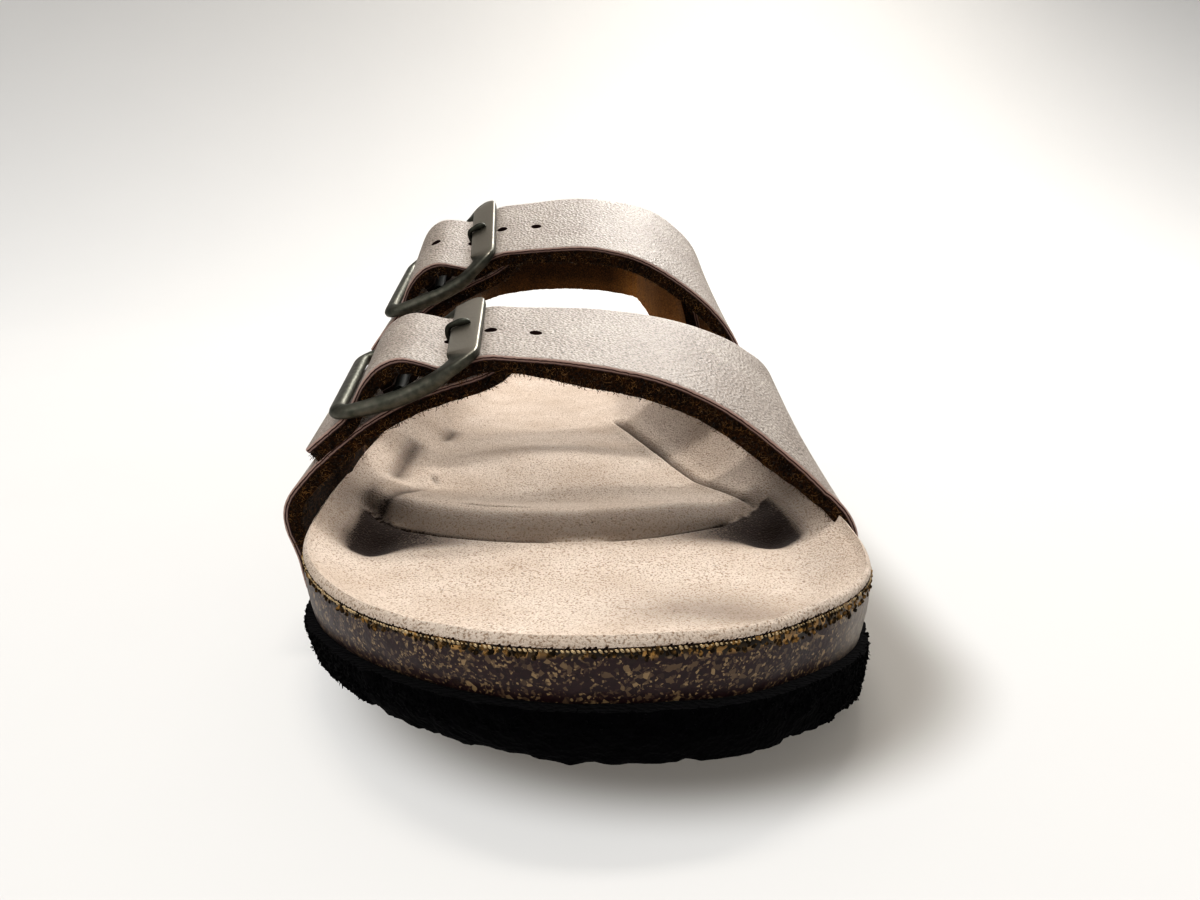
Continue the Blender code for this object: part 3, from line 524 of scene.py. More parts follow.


# For each buckled strap: the wide bar's run along it, its adjusting holes by their distance from that
# bar, how far its felt swells at the front edge, the run over which that fades, and how much painted
# light makes its lining paler at the inner side
STRAP_KEYS = ("name", "sheet", "bar_run", "holes", "felt_swell", "felt_fade", "inner_painted_light")
FRONT, REAR = (
    dict(zip(STRAP_KEYS, values))
    for values in (
        ("front", strap_sheet(FRONT_STRAP_ROWS), 58.0, (-3.7, 3.7, 11.6), 1.4, 16.0, 0.0),
        ("rear", strap_sheet(REAR_STRAP_ROWS), 68.0, (-11.3, -3.7, 3.7, 11.2), 0.6, 60.0, 0.6),
    )
)


def add_node(tree, kind, inputs=None, stops=None, **settings):
    """Adds a node with its settings, and gives its inputs a value or a link.

    A kind without a family is a shader node. A node as a value stands for its first output.
    """
    made = tree.nodes.new(kind if "Node" in kind else "ShaderNode" + kind)
    for name, value in settings.items():
        setattr(made, name, value)
    for key, value in (inputs or {}).items():
        target = made.inputs[key]
        if isinstance(value, bpy.types.Node):
            value = value.outputs[0]
        if isinstance(value, bpy.types.NodeSocket):
            tree.links.new(value, target)
        else:
            target.default_value = (*value, 1.0) if target.type == "RGBA" else value
    if stops:
        ramp = made.color_ramp
        while len(ramp.elements) < len(stops):
            ramp.elements.new(1.0)
        for element, (place, colour) in zip(ramp.elements, stops):
            element.position = place
            element.color = (*colour, 1.0)
    return made


def per_mm(size):
    """Texture scale whose features are about a size in millimetres, on coordinates in metres."""
    return 1000.0 / size


def socket_name(key):
    return key.replace("_", " ").title().replace("Ior", "IOR")


def new_material(name, **sockets):
    """Material with its shader's own values, a way to add nodes, and its coordinates in metres."""
    material = bpy.data.materials.new(name)
    material.use_nodes = True
    for key, value in sockets.items():
        material.node_tree.nodes["Principled BSDF"].inputs[socket_name(key)].default_value = value
    add = partial(add_node, material.node_tree)
    return material, add, add("TexCoord").outputs["Object"]


def link_shader(material, **sockets):
    """Links nodes or sockets to the shader's inputs of those names."""
    tree = material.node_tree
    for key, value in sockets.items():
        source = value.outputs[0] if isinstance(value, bpy.types.Node) else value
        tree.links.new(source, tree.nodes["Principled BSDF"].inputs[socket_name(key)])
    return material


def mottled(name, size, detail, stops, **sockets):
    """Material whose colours are strewn by one noise, with what its maker needs to add a bump."""
    material, add, where = new_material(name, **sockets)
    spots = add("TexNoise", {"Vector": where, "Scale": per_mm(size), "Detail": detail})
    link_shader(material, base_color=add("ValToRGB", {0: spots}, stops))
    return material, add, where, spots


def grey(value):
    return (value, value, value)


def tint(colour, *factors):
    """Colour times one factor, or times a factor for each channel."""
    return tuple(c * f for c, f in zip(colour, factors if len(factors) == 3 else factors * 3))


def between(first, second, share):
    return tuple((1 - share) * a + share * b for a, b in zip(first, second))


# Suede brushed to a short nap: dull, without gloss, soft to the light at its edges, mottled where
# the nap lies over, with fine dark flecks, and painted shade and soil that keep to the nap
def brushed_suede(sole):
    material, add, where = new_material(
        "brushed beige suede",
        roughness=0.95, specular_ior_level=0.15, sheen_weight=0.08, sheen_roughness=0.6,
    )
    light = sole.suede_colour
    laid_over = tint(light, 0.74, 0.68, 0.62)
    pit = tint(light, 0.5, 0.43, 0.37)
    # Dark colour for the flecks, and for the painted shade and soil
    dark_flecks_and_shade = tint(light, 0.035, 0.02, 0.014)
    patches = add("TexNoise", {"Vector": where, "Scale": per_mm(18), "Detail": 4.0, "Roughness": 0.6})
    mottle = add("ValToRGB", {0: patches}, ((0.38, grey(0.0)), (0.66, grey(0.5))))
    nap = add("TexNoise", {"Vector": where, "Scale": per_mm(0.4), "Detail": 2.0, "Roughness": 0.6})
    pits = add("ValToRGB", {0: nap}, ((0.36, grey(0.95)), (0.5, grey(0.0))))
    dots = add("TexVoronoi", {"Vector": where, "Scale": per_mm(2.6), "Randomness": 1.0})
    flecks = add("ValToRGB", {0: dots}, ((0.05, grey(1.0)), (0.12, grey(0.0))))
    flecks = add("Math", {0: flecks, 1: patches}, operation="MULTIPLY")
    # Painted shade and soil, marked on the footbed's points, darken the suede with the nap
    soil = add("Attribute", attribute_name="soil").outputs["Fac"]
    soil = add("Math", {0: soil, 1: nap}, operation="MULTIPLY")
    soil = add("Math", {0: soil, 1: 2.6}, operation="MULTIPLY", use_clamp=True)
    colour = light
    for share, over in ((mottle, laid_over), (pits, pit), (flecks, dark_flecks_and_shade), (soil, dark_flecks_and_shade)):
        colour = add("Mix", {0: share, 6: colour, 7: over}, data_type="RGBA").outputs[2]
    fine = add("Bump", {"Height": nap, "Strength": sole.nap_strength, "Distance": 0.5 * MM})
    waves = add("TexNoise", {"Vector": where, "Scale": per_mm(5), "Detail": 2.0})
    soft = add("Bump", {"Height": waves, "Strength": 0.25, "Distance": 0.8 * MM, "Normal": fine})
    return link_shader(material, base_color=colour, normal=soft)


# Pressed cork granules under clear lacquer: dark brown with tan flecks and streaks, a glassy coat,
# bare golden bits where the seam is torn and a painted grey reflection at the inner side of the toe
def sealed_cork(sole):
    material, add, where = new_material(
        "sealed pressed cork", roughness=0.6, specular_ior_level=0.3, coat_weight=0.34, coat_roughness=0.3,
        coat_ior=1.5
    )
    dark, fleck, gold = sole.cork_dark, sole.cork_fleck, sole.cork_gold
    mid = between(dark, fleck, 0.35)
    stir = add("TexNoise", {"Vector": where, "Scale": per_mm(1.6), "Detail": 2.0})
    pushed = add("VectorMath", {0: stir.outputs["Color"], 1: grey(0.5)}, operation="SUBTRACT")
    pushed = add("VectorMath", {0: pushed, "Scale": 0.6 * MM}, operation="SCALE")
    warped = add("VectorMath", {0: where, 1: pushed}, operation="ADD")
    cells = []
    colours = []
    for channel, (size, stops) in enumerate((
        (0.75, ((0.0, dark), (0.66, tint(dark, 0.6)), (0.76, mid), (0.92, mid), (0.96, fleck))),
        (0.36, ((0.0, tint(dark, 0.5)), (0.66, dark), (0.82, mid), (0.95, fleck))),
        (1.0, ((0.4, tint(gold, 0.04)), (0.65, tint(gold, 0.2)), (0.92, gold))),
    )):
        cells.append(add("TexVoronoi", {"Vector": warped, "Scale": per_mm(size), "Randomness": 1.0}))
        chance = add("SeparateColor", {0: cells[-1].outputs["Color"]}).outputs[channel]
        colours.append(add("ValToRGB", {0: chance}, stops))
    large, small, bare = colours
    choice = add("TexNoise", {"Vector": where, "Scale": per_mm(1.8), "Detail": 3.0})
    which = add("ValToRGB", {0: choice}, ((0.47, grey(0.0)), (0.53, grey(1.0))))
    torn = add("Attribute", attribute_name="torn").outputs["Fac"]
    # Painted grey reflection at the inner side of the toe, broken by the noise
    veil = add("Attribute", attribute_name="veil").outputs["Fac"]
    reflection_share = add("Math", {0: veil, 1: choice}, operation="MULTIPLY")
    colour = large
    for share, over in ((which, small), (torn, bare), (reflection_share, between(fleck, grey(0.45), 0.5))):
        colour = add("Mix", {0: share, 6: colour, 7: over}, data_type="RGBA").outputs[2]
    dents = add("Bump", {"Height": cells[0], "Strength": 0.3, "Distance": 0.25 * MM})
    waves = add("TexNoise", {"Vector": where, "Scale": per_mm(2.5), "Detail": 2.0})
    film = add("Bump", {"Height": waves, "Strength": 0.3, "Distance": 0.3 * MM})
    return link_shader(material, base_color=colour, normal=dents, coat_normal=film)


# Bare torn cork at the seam: dry golden crumbs, each a little lighter or browner than the next
def torn_cork(sole):
    gold = sole.cork_gold
    shades = ((0.44, 0.04), (0.55, 0.25), (0.66, 0.85), (0.8, 1.3))
    stops = tuple((place, tint(gold, shade)) for place, shade in shades)
    material, add, where, _ = mottled(
        "torn golden cork", 1.1, 3.0, stops, roughness=0.9, specular_ior_level=0.25
    )
    grain = add("TexNoise", {"Vector": where, "Scale": per_mm(0.3)})
    relief = add("Bump", {"Height": grain, "Strength": 0.5, "Distance": 0.2 * MM})
    return link_shader(material, normal=relief)


# Crumb rubber cut through at the side: deep matt black, broken by pits, with no clear gloss
def crumb_rubber(sole):
    stops = ((0.35, tint(sole.rubber_colour, 0.4)), (0.7, tint(sole.rubber_colour, 1.2)))
    material, add, where, _ = mottled(
        "black crumb rubber", 1.4, 4.0, stops, roughness=0.95, specular_ior_level=0.1
    )
    pits = add("TexVoronoi", {"Vector": where, "Scale": per_mm(0.9)})
    relief = add("Bump", {"Height": pits, "Strength": 0.8, "Distance": 0.5 * MM})
    return link_shader(material, normal=relief)


# Smooth-faced strap leather with a fine pebbled grain: half matt, pale taupe, a shade darker in
# the pores
def grained_leather(straps):
    material, add, where = new_material("fine grained taupe leather", roughness=0.6, specular_ior_level=0.4)
    base = straps.leather_colour
    grain = add("TexVoronoi", {"Vector": where, "Scale": per_mm(0.7), "Randomness": 1.0})
    fine = add("TexNoise", {"Vector": where, "Scale": per_mm(0.42), "Detail": 2.0})
    broad = add("TexNoise", {"Vector": where, "Scale": per_mm(12), "Detail": 3.0})
    pores = add("ValToRGB", {0: fine}, ((0.36, tint(base, 0.5)), (0.49, base), (0.68, tint(base, 1.2))))
    cloudy = add("ValToRGB", {0: broad}, ((0.35, (0.84, 0.82, 0.81)), (0.65, grey(1.0))))
    colour = add("Mix", {0: 1.0, 6: pores, 7: cloudy}, data_type="RGBA", blend_type="MULTIPLY").outputs[2]
    pebble = add("Bump", {"Height": grain, "Strength": 0.7, "Distance": 0.25 * MM})
    skin = add("Bump", {"Height": fine, "Strength": 0.35, "Distance": 0.15 * MM, "Normal": pebble})
    return link_shader(material, base_color=colour, normal=skin)


# Cut edge of the strap: finished skin, a dark core and a paler backing, as three thin lines
def cut_edge(straps):
    material, add, where = new_material("strap cut edge", roughness=0.75, specular_ior_level=0.3)
    core = straps.core_colour
    skin = tint(straps.leather_colour, 1.25, 1.05, 1.05)
    back = between(skin, core, 0.4)
    layer = add("Attribute", attribute_name="layer").outputs["Fac"]
    ripple = add("TexNoise", {"Vector": where, "Scale": per_mm(1.2), "Detail": 2.0})
    shift = add("Math", {0: ripple, 1: 0.3, 2: -0.15}, operation="MULTIPLY_ADD")
    height = add("Math", {0: layer, 1: shift})
    stops = ((0.0, core), (0.16, core), (0.24, back), (0.44, back), (0.52, core), (0.66, core), (0.74, skin))
    return link_shader(material, base_color=add("ValToRGB", {0: height}, stops))


# Needled felt: a dull mat of brown and ochre wool, darker in its depth and paler where light is painted on it
def needled_felt(straps):
    material, add, where = new_material(
        "needled ochre felt", roughness=1.0, specular_ior_level=0.1, sheen_weight=0.04, sheen_roughness=0.7
    )
    deep, ochre = straps.felt_dark, straps.felt_ochre
    stretched = add("Mapping", {"Vector": where, "Rotation": (0.4, 0.7, 0.3), "Scale": (1.0, 0.3, 1.0)})
    wool = add("TexNoise", {"Vector": stretched, "Scale": per_mm(0.45), "Detail": 3.0})
    mat = add("TexNoise", {"Vector": where, "Scale": per_mm(5), "Detail": 3.0})
    both = add("Math", {0: mat, 1: 0.35, 2: wool}, operation="MULTIPLY_ADD")
    colour = add("ValToRGB", {0: both}, ((0.5, deep), (0.72, between(deep, ochre, 0.4)), (0.9, ochre)))
    # Painted light: the lining is made paler where light falls on it
    pale = add("Attribute", attribute_name="pale").outputs["Fac"]
    lit_share = add("Math", {0: pale, 1: both}, operation="MULTIPLY")
    lit_wool = tint(ochre, 5.6, 6.6, 6.8)
    colour = add("Mix", {0: lit_share, 6: colour, 7: lit_wool}, data_type="RGBA").outputs[2]
    bump = add("Bump", {"Height": wool, "Strength": 0.7, "Distance": 0.4 * MM})
    return link_shader(material, base_color=colour, normal=bump)


# Loose wool of the felt: single golden-brown hairs that catch the light
def wool_hair(straps):
    stops = ((0.4, straps.felt_dark), (0.65, straps.hair_colour))
    return mottled("golden wool hair", 2.0, 2.0, stops, roughness=0.7, specular_ior_level=0.3)[0]


# Cast pewter with an old dark patina, rubbed bright where hands and straps wear it, and darker as painted
# shade on the wide bar's sides and the middle bar
def worn_pewter(buckles):
    material, add, where = new_material("antique pewter", metallic=1.0, roughness=0.42)
    patina, bright = buckles.patina_colour, buckles.pewter_colour
    worn = add("Attribute", attribute_name="worn").outputs["Fac"]
    spots = add("TexNoise", {"Vector": where, "Scale": per_mm(1.5), "Detail": 4.0})
    share = add("Math", {0: spots, 1: 0.5, 2: worn}, operation="MULTIPLY_ADD")
    # A share below zero gives the darkest colour: painted shade on the middle bar
    stops = ((0.0, tint(patina, 0.12)), (0.35, patina), (0.75, between(patina, bright, 0.5)), (1.0, bright))
    colour = add("ValToRGB", {0: share}, stops)
    gloss = add("ValToRGB", {0: share}, ((0.3, grey(0.55)), (1.0, grey(0.32))))
    scratch = add("Mapping", {"Vector": where, "Rotation": (0.0, 0.0, 0.5), "Scale": (1.0, 0.15, 1.0)})
    lines = add("TexNoise", {"Vector": scratch, "Scale": per_mm(0.4)})
    bump = add("Bump", {"Height": lines, "Strength": 0.25, "Distance": 0.1 * MM})
    return link_shader(material, base_color=colour, roughness=gloss, normal=bump)


# Thin vegetable-tanned leather of the loop: dark brown, dry
def loop_leather(buckles):
    stops = ((0.35, tint(buckles.loop_colour, 0.5)), (0.65, tint(buckles.loop_colour, 1.3)))
    material, add, _, grain = mottled(
        "dark loop leather", 0.5, 3.0, stops, roughness=0.75, specular_ior_level=0.3
    )
    relief = add("Bump", {"Height": grain, "Strength": 0.4, "Distance": 0.15 * MM})
    return link_shader(material, normal=relief)


# Twisted yarn: dull, with paler and darker strands
def yarn(name, colour):
    stops = ((0.35, tint(colour, 0.45)), (0.55, colour))
    return mottled(name, 0.5, 2.0, stops, roughness=0.9, specular_ior_level=0.2)[0]


# Matt paper sweep: nearly white, without gloss, with a painted glow that is left out under the sole as a
# painted shadow
def paper_sweep(stage):
    stops = ((0.3, tint(stage.floor_colour, 0.985)), (0.7, stage.floor_colour))
    material, add, where, _ = mottled(
        "matt white paper", 60, 3.0, stops, roughness=1.0, specular_ior_level=0.0
    )
    part = add("SeparateXYZ", {0: where})
    aside = add("Math", {0: part, 1: SHADE_NARROWING, 2: -SHADE_ASIDE}, operation="MULTIPLY_ADD")
    along = add("Math", {0: part.outputs[1], 1: SHADE_ALONG}, operation="SUBTRACT")
    along = add("Math", {0: along}, operation="ABSOLUTE")
    along = add("Math", {0: along, 1: SHADE_STRAIGHT}, operation="SUBTRACT")
    along = add("Math", {0: along, 1: 0.0}, operation="MAXIMUM")
    away = add("CombineXYZ", {0: aside, 1: along})
    away = add("VectorMath", {0: away}, operation="LENGTH").outputs["Value"]
    # Painted shadow: the glow is left out under the sole
    shade = {0: away, 1: SHADE_REACH[0], 2: SHADE_REACH[1], 3: 0.0, 4: stage.floor_glow}
    open_floor = add("MapRange", shade, interpolation_type="SMOOTHSTEP")
    lower = add("MapRange", {0: part.outputs[2], 1: 0.0, 2: WALL_GLOW_HEIGHT, 3: 1.0, 4: WALL_GLOW})
    glow = add("Math", {0: open_floor, 1: lower}, operation="MULTIPLY")
    material.node_tree.nodes["Principled BSDF"].inputs["Emission Color"].default_value = GLOW_COLOUR
    return link_shader(material, emission_strength=glow)


def finish_named(name, maker, *values):
    """The finish of that name, made when it is first asked for."""
    return bpy.data.materials.get(name) or maker(*values)


def in_frame(points):
    """Metres in the part's frame from the tables' millimetres."""
    return (np.asarray(points, float) - SHIFT) * MM


def shown(name, data):
    """Object of that name in the scene."""
    obj = bpy.data.objects.new(name, data)
    bpy.context.scene.collection.objects.link(obj)
    return obj


def new_piece(name, points, faces, materials, picks=None, marks=None, sharp=50.0):
    """Mesh from points in millimetres, its faces turned outwards; marks are named point values."""
    mesh = bpy.data.meshes.new(name)
    mesh.from_pydata(in_frame(points).tolist(), [], faces)
    for material in materials:
        mesh.materials.append(material)
    if picks is not None:
        mesh.polygons.foreach_set("material_index", np.asarray(picks, np.int32))
    for key, values in (marks or {}).items():
        mesh.attributes.new(key, "FLOAT", "POINT").data.foreach_set("value", np.asarray(values, np.float32))
    work = bmesh.new()
    work.from_mesh(mesh)
    bmesh.ops.recalc_face_normals(work, faces=work.faces)
    if work.calc_volume(signed=True) < 0:
        bmesh.ops.reverse_faces(work, faces=work.faces)
    work.to_mesh(mesh)
    work.free()
    mesh.shade_smooth()
    mesh.set_sharp_from_angle(angle=radians(sharp))
    return shown(name, mesh)


def settle(obj, slot, *nodes):
    """Rides a finished piece on the sandal and hides the solids that it stands for; its slot is not used."""
    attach(obj, "root")
    if nodes:
        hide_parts(*nodes)
    return obj


def quads(upper, lower):
    """Faces of a closed strip between two rows of points."""
    count = len(upper)
    return [(upper[i], upper[(i + 1) % count], lower[(i + 1) % count], lower[i]) for i in range(count)]


def well_inside(points, margin):
    """The points that lie inside the sole's outline by more than a margin."""
    turn = turn_of(points[:, 1])
    points = points[(points[:, 0] > outline_x(-turn)) & (points[:, 0] < outline_x(turn))]
    depth, _ = edge_depth(points[:, 0], points[:, 1])
    return points[depth > margin]


def triangulated(points, border):
    """Triangles over points in plan whose first ones are the border."""
    made = geometry.delaunay_2d_cdt([Vector(p) for p in points], [], [list(range(border))], 1, 1e-4)
    origin = [ids[0] for ids in made[3]]
    faces = [tuple(origin[i] for i in face) for face in made[2]]
    return points, [f for f in faces if len(set(f)) == 3]


def plan_mesh(turns, rings, spacing, margin, extra=()):
    """Triangles over the sole's outline: its border, inset rings, a grid and extra points inside."""
    edge, outward = outline_at(turns)
    points = [edge] + [edge - outward * inset for inset in rings]
    rows = np.arange(spacing, LENGTH, spacing * 0.866)
    columns = np.arange(-56, 56, spacing)
    grid = np.array([(x + (k % 2) * spacing / 2, y) for k, y in enumerate(rows) for x in columns])
    grid = well_inside(grid, margin)
    for line in extra:
        away = np.linalg.norm(grid[:, None] - line[None], axis=2).min(axis=1)
        grid = grid[away > spacing * 0.6]
    return triangulated(np.concatenate(points + [grid] + list(extra)), len(edge))


def sole_shell(plan, border, top, base, rings):
    """Points and faces of a layer of the sole: upper and lower face over one plan, and its side.

    The rings give the side's points from the upper to the lower border, both included.
    """
    points, triangles = plan
    upper = np.column_stack([points, top])
    lower = np.column_stack([points, base])
    upper[:border] = rings[0]
    lower[:border] = rings[-1]
    size = len(points)
    solid = [upper, lower] + list(rings[1:-1])
    loops = [np.arange(border)]
    for k in range(len(rings) - 2):
        loops.append(2 * size + k * border + np.arange(border))
    loops.append(size + np.arange(border))
    faces = list(triangles) + [tuple(i + size for i in reversed(f)) for f in triangles]
    for a, b in zip(loops, loops[1:]):
        faces += quads(a.tolist(), b.tolist())
    return np.concatenate(solid), faces


def past_ridge_foot(x, y):
    """Distance behind the foot of the toe-grip ridge, which bows back at both ends."""
    return y - TOE_RIDGE_Y - (x - TOE_RIDGE_X) ** 2 / TOE_RIDGE_BOW


def ridge_soil(x, y):
    """Painted shade on the ridge's face, and in the two pockets between it and the toe bed."""
    foot = past_ridge_foot(x, y)
    inside = ease((edge_depth(x, y)[0] - 5.0) / 3.0)
    off_middle = np.abs(x - TOE_RIDGE_X)
    face = RIDGE_FACE_SHADE * ease(foot / 0.8) * ease((9.0 - foot) / 5.0)
    outer_part = 0.12 + 0.88 * ease((off_middle - 12.0) / 26.0)
    front = TOE_RIDGE_Y - ease((off_middle - 32.0) / 9.0)
    pocket = POCKET_SHADE * outer_part * ease((y - front + 1.5) / 4.5) * ease((0.4 - foot) / 0.8)
    return (face + pocket) * inside


def crease_lines():
    """Each crease as closely set points, with its depth, half width and fading ends."""
    lines = []
    for depth, wide, places in CREASES:
        places = np.array(places)
        run = run_along(places)
        at = np.linspace(0.0, run[-1], max(8, int(run[-1] / 0.7)))
        line = np.stack([smooth(run, places[:, i], at) for i in range(2)], axis=1)
        fade = ease(at / 6.0) * ease((run[-1] - at) / 9.0)
        lines.append((depth, wide, line, fade))
    return lines


def make_footbed(sole):
    """Suede footbed with its rolled edge, creases, toe-grip ridge, darker places and painted shade."""
    turns = even_turns(520)
    creases = crease_lines()
    extra = []
    for _, wide, line, _ in creases:
        along = np.gradient(line, axis=0)
        side = np.stack([-along[:, 1], along[:, 0]], axis=1) / np.linalg.norm(along, axis=1)[:, None]
        extra += [line + side * offset * wide for offset in (-2.6, -1.6, -0.8, 0.0, 0.8, 1.6, 2.6)]
    plan = plan_mesh(turns, (1.5, 2.3, 3.3, 4.5, 5.9, 7.4), 1.45, 8.4, extra)
    points = plan[0]
    level = footbed_height(points[:, 0], points[:, 1])
    soil = np.zeros(len(points))
    for depth, wide, line, fade in creases:
        away = np.linalg.norm(points[:, None] - line[None], axis=2)
        near = away.argmin(axis=1)
        gone = away.min(axis=1) / wide
        share = fade[near] * sole.crease_depth / MM
        level += share * depth * (0.4 * np.exp(-((gone - 2.4) / 1.2) ** 2) - np.exp(-(gone ** 2)))
        # Painted shade along each crease
        soil = np.maximum(soil, CREASE_SHADE * fade[near] * np.exp(-((gone / 0.8) ** 2)))
    # Darker places, some of them painted shade
    for x, y, reach_x, reach_y, dark in SHADES_AND_SMUDGES:
        soil += dark * np.exp(-((points[:, 0] - x) / reach_x) ** 2 - ((points[:, 1] - y) / reach_y) ** 2)
    # Painted shade on the ridge's face and in its pockets
    soil += ridge_soil(points[:, 0], points[:, 1])
    flat = np.column_stack([points, level])
    level = level + 0.16 * lumps(flat, 9.0, 1) + 0.07 * lumps(flat, 3.5, 2)
    edge, outward = outline_at(turns)
    rim = rim_height(edge[:, 0], edge[:, 1])
    rings = []
    for down, inset in ((0.0, FOOTBED_ROLL), (0.18, 0.42), (0.45, 0.12), (0.75, 0.0), (1.0, 0.0)):
        height = level[:len(edge)] * (1 - down) + (rim - FOOTBED_THICKNESS) * down
        rings.append(np.column_stack([edge - outward * inset, height]))
    solid, faces = sole_shell(plan, len(edge), level, level - FOOTBED_THICKNESS, rings)
    marks = np.concatenate([soil, soil, np.zeros(len(solid) - 2 * len(points))])
    suede = finish_named("brushed beige suede", brushed_suede, sole)
    piece = new_piece("footbed_suede", solid, faces, [suede], marks={"soil": np.clip(marks, 0.0, 1.0)})
    return settle(piece, "suede", "footbed")


def cork_rings(turns):
    """Rows of the cork's side from its seam to its base, with slight lumps."""
    edge, outward = outline_at(turns)
    top = rim_height(edge[:, 0], edge[:, 1]) - FOOTBED_THICKNESS - GAP
    base = base_height("cork_base", edge[:, 0], edge[:, 1]) + GAP / 2
    rings = []
    for down in np.concatenate([np.linspace(0.0, 0.3, 8), np.linspace(0.37, 1.0, 11)]):
        inset = CORK_DRAFT * down - CORK_BULGE * np.sin(np.pi * down)
        inset = inset + 0.35 * ease((0.09 - down) / 0.09)
        inset = inset - 0.12 * ease((down - 0.9) / 0.08) + 0.12 * (down == 1.0)
        ring = np.column_stack([edge - outward * inset, top * (1 - down) + base * down])
        wobble = 0.1 * lumps(ring, 4.0, 3) + 0.05 * lumps(ring, 1.5, 4)
        ring[:, :2] += outward * wobble[:, None]
        rings.append(ring)
    return rings


def torn_reach(seam):
    """How far below the seam the bare torn cork shows: most at the inner side of the toe."""
    x, y = seam[:, 0], seam[:, 1]
    corner = np.exp(-((x - 36.0) / 22.0) ** 2 - ((y - 18.0) / 26.0) ** 2)
    return 0.9 + 1.3 * corner + 0.7 * np.clip(lumps(seam, 6.0, 8), -0.6, 1.0)


def make_cork(sole):
    """Cork midsole under its clear coat."""
    turns = even_turns(520)
    plan = plan_mesh(turns, (3.0, 6.0), 6.0, 9.0)
    depth, _ = edge_depth(plan[0][:, 0], plan[0][:, 1])
    level = footbed_height(plan[0][:, 0], plan[0][:, 1]) - FOOTBED_THICKNESS - GAP - 3.0 * ease(depth / 10.0)
    base = base_height("cork_base", plan[0][:, 0], plan[0][:, 1]) + GAP / 2
    rows = cork_rings(turns)
    solid, faces = sole_shell(plan, len(turns), level, base, rows)
    reach = torn_reach(rows[0])
    torn = [ease((reach - (rows[0][:, 2] - ring[:, 2])) / 0.5 + 0.5) for ring in rows]
    inside = np.zeros(len(plan[0]) - len(turns))
    torn = np.concatenate([torn[0], inside, torn[-1], inside] + torn[1:-1])
    # Painted reflection at the inner side of the toe
    veil = 1.3 * ease((solid[:, 0] - 33.0) / 12.0) * ease((55.0 - solid[:, 1]) / 15.0)
    cork = finish_named("sealed pressed cork", sealed_cork, sole)
    marks = {"torn": torn, "veil": np.clip(veil, 0.0, 1.0)}
    return settle(new_piece("cork_midsole_body", solid, faces, [cork], marks=marks), "cork", "cork_midsole")


def groove_wave(x):
    return GROOVE_WAVE * np.cos(2 * np.pi * x / GROOVE_WAVELENGTH)


def groove_depth(x, y):
    """Depth of the wavy cross grooves at a place of the tread."""
    from_first = y - groove_wave(x) - GROOVE_FIRST
    k = np.clip(np.round(from_first / GROOVE_PITCH), 0, GROOVE_COUNT - 1)
    away = np.abs(from_first - k * GROOVE_PITCH)
    return GROOVE_DEPTH * np.clip((GROOVE_WIDTH / 2 + 0.15 - away) / 0.3, 0.0, 1.0)


def tread_lines():
    """Distances from the toe, before the wave, at which the tread bends."""
    steps = (-8.25, -5.0, -2.45, -2.15, 0.0, 2.15, 2.45, 5.0)
    lines = [GROOVE_FIRST + k * GROOVE_PITCH + s for k in range(GROOVE_COUNT + 1) for s in steps]
    return np.array(lines)


def make_outsole(sole):
    """Outsole with its wavy tread, leaning sides and crumbled cut face.

    Gives the points and faces of its side.
    """
    fine = np.linspace(-np.pi, np.pi, 6001)
    edge, _ = outline_at(fine)
    shifted = edge[:, 1] - groove_wave(edge[:, 0])
    turns = list(even_turns(520))
    for line in tread_lines():
        crossing = np.nonzero(np.diff(np.sign(shifted - line)) != 0)[0]
        turns += [fine[i] for i in crossing]
    turns = np.sort(np.array(turns))
    edge, _ = outline_at(turns)
    clear = np.concatenate([[True], np.linalg.norm(np.diff(edge, axis=0), axis=1) > 0.12])
    turns = turns[clear]
    edge, outward = outline_at(turns)
    inside = []
    for line in tread_lines():
        x = np.arange(-54.0, 54.1, 2.0)
        inside.append(np.stack([x, line + groove_wave(x)], axis=1))
    inside = np.concatenate(inside)
    inside = inside[(inside[:, 1] > 1.0) & (inside[:, 1] < LENGTH - 1.0)]
    points = np.concatenate([edge, well_inside(inside, 5.5)])
    plan = triangulated(points, len(edge))
    top = base_height("cork_base", points[:, 0], points[:, 1]) - GAP / 2
    count = len(edge)
    cut = groove_depth(points[:, 0], points[:, 1])
    cut[:count] *= sole.groove_opening
    tread = base_height("tread", points[:, 0], points[:, 1]) + cut
    inner_share = ease(0.5 + edge[:, 0] / (2 * SIDE_BLEND))
    rings = []
    for down in np.linspace(0.0, 1.0, 13):
        lean = smooth((0.0, 0.4, 0.8, 1.0), (0.0, 0.2, 0.6, 1.0), down)
        out = OUTSOLE_LEDGE - lean * (OUTER_LEAN * (1 - inner_share) + INNER_LEAN * inner_share)
        height = top[:count] * (1 - down) + tread[:count] * down
        ring = np.column_stack([edge + outward * out[:, None], height])
        rough = 0.45 * lumps(ring, 2.6, 5) + 0.3 * lumps(ring, 1.1, 6)
        ring[:, :2] += outward * (rough * sole.rubber_roughness / MM)[:, None]
        if down > 0.5:
            ring[:, 2] = np.maximum(ring[:, 2] + 0.2 * lumps(ring, 1.3, 7) * (down - 0.5) * 2, 0.0)
        rings.append(ring)
    solid, faces = sole_shell(plan, count, top, tread, rings)
    rubber = finish_named("black crumb rubber", crumb_rubber, sole)
    settle(new_piece("outsole_rubber_body", solid, faces, [rubber]), "outsole_rubber", "outsole")
    wall = np.concatenate(rings)
    row = np.arange(count)
    strips = []
    for k in range(len(rings) - 1):
        strips += quads((row + k * count).tolist(), (row + (k + 1) * count).tolist())
    return wall, strips


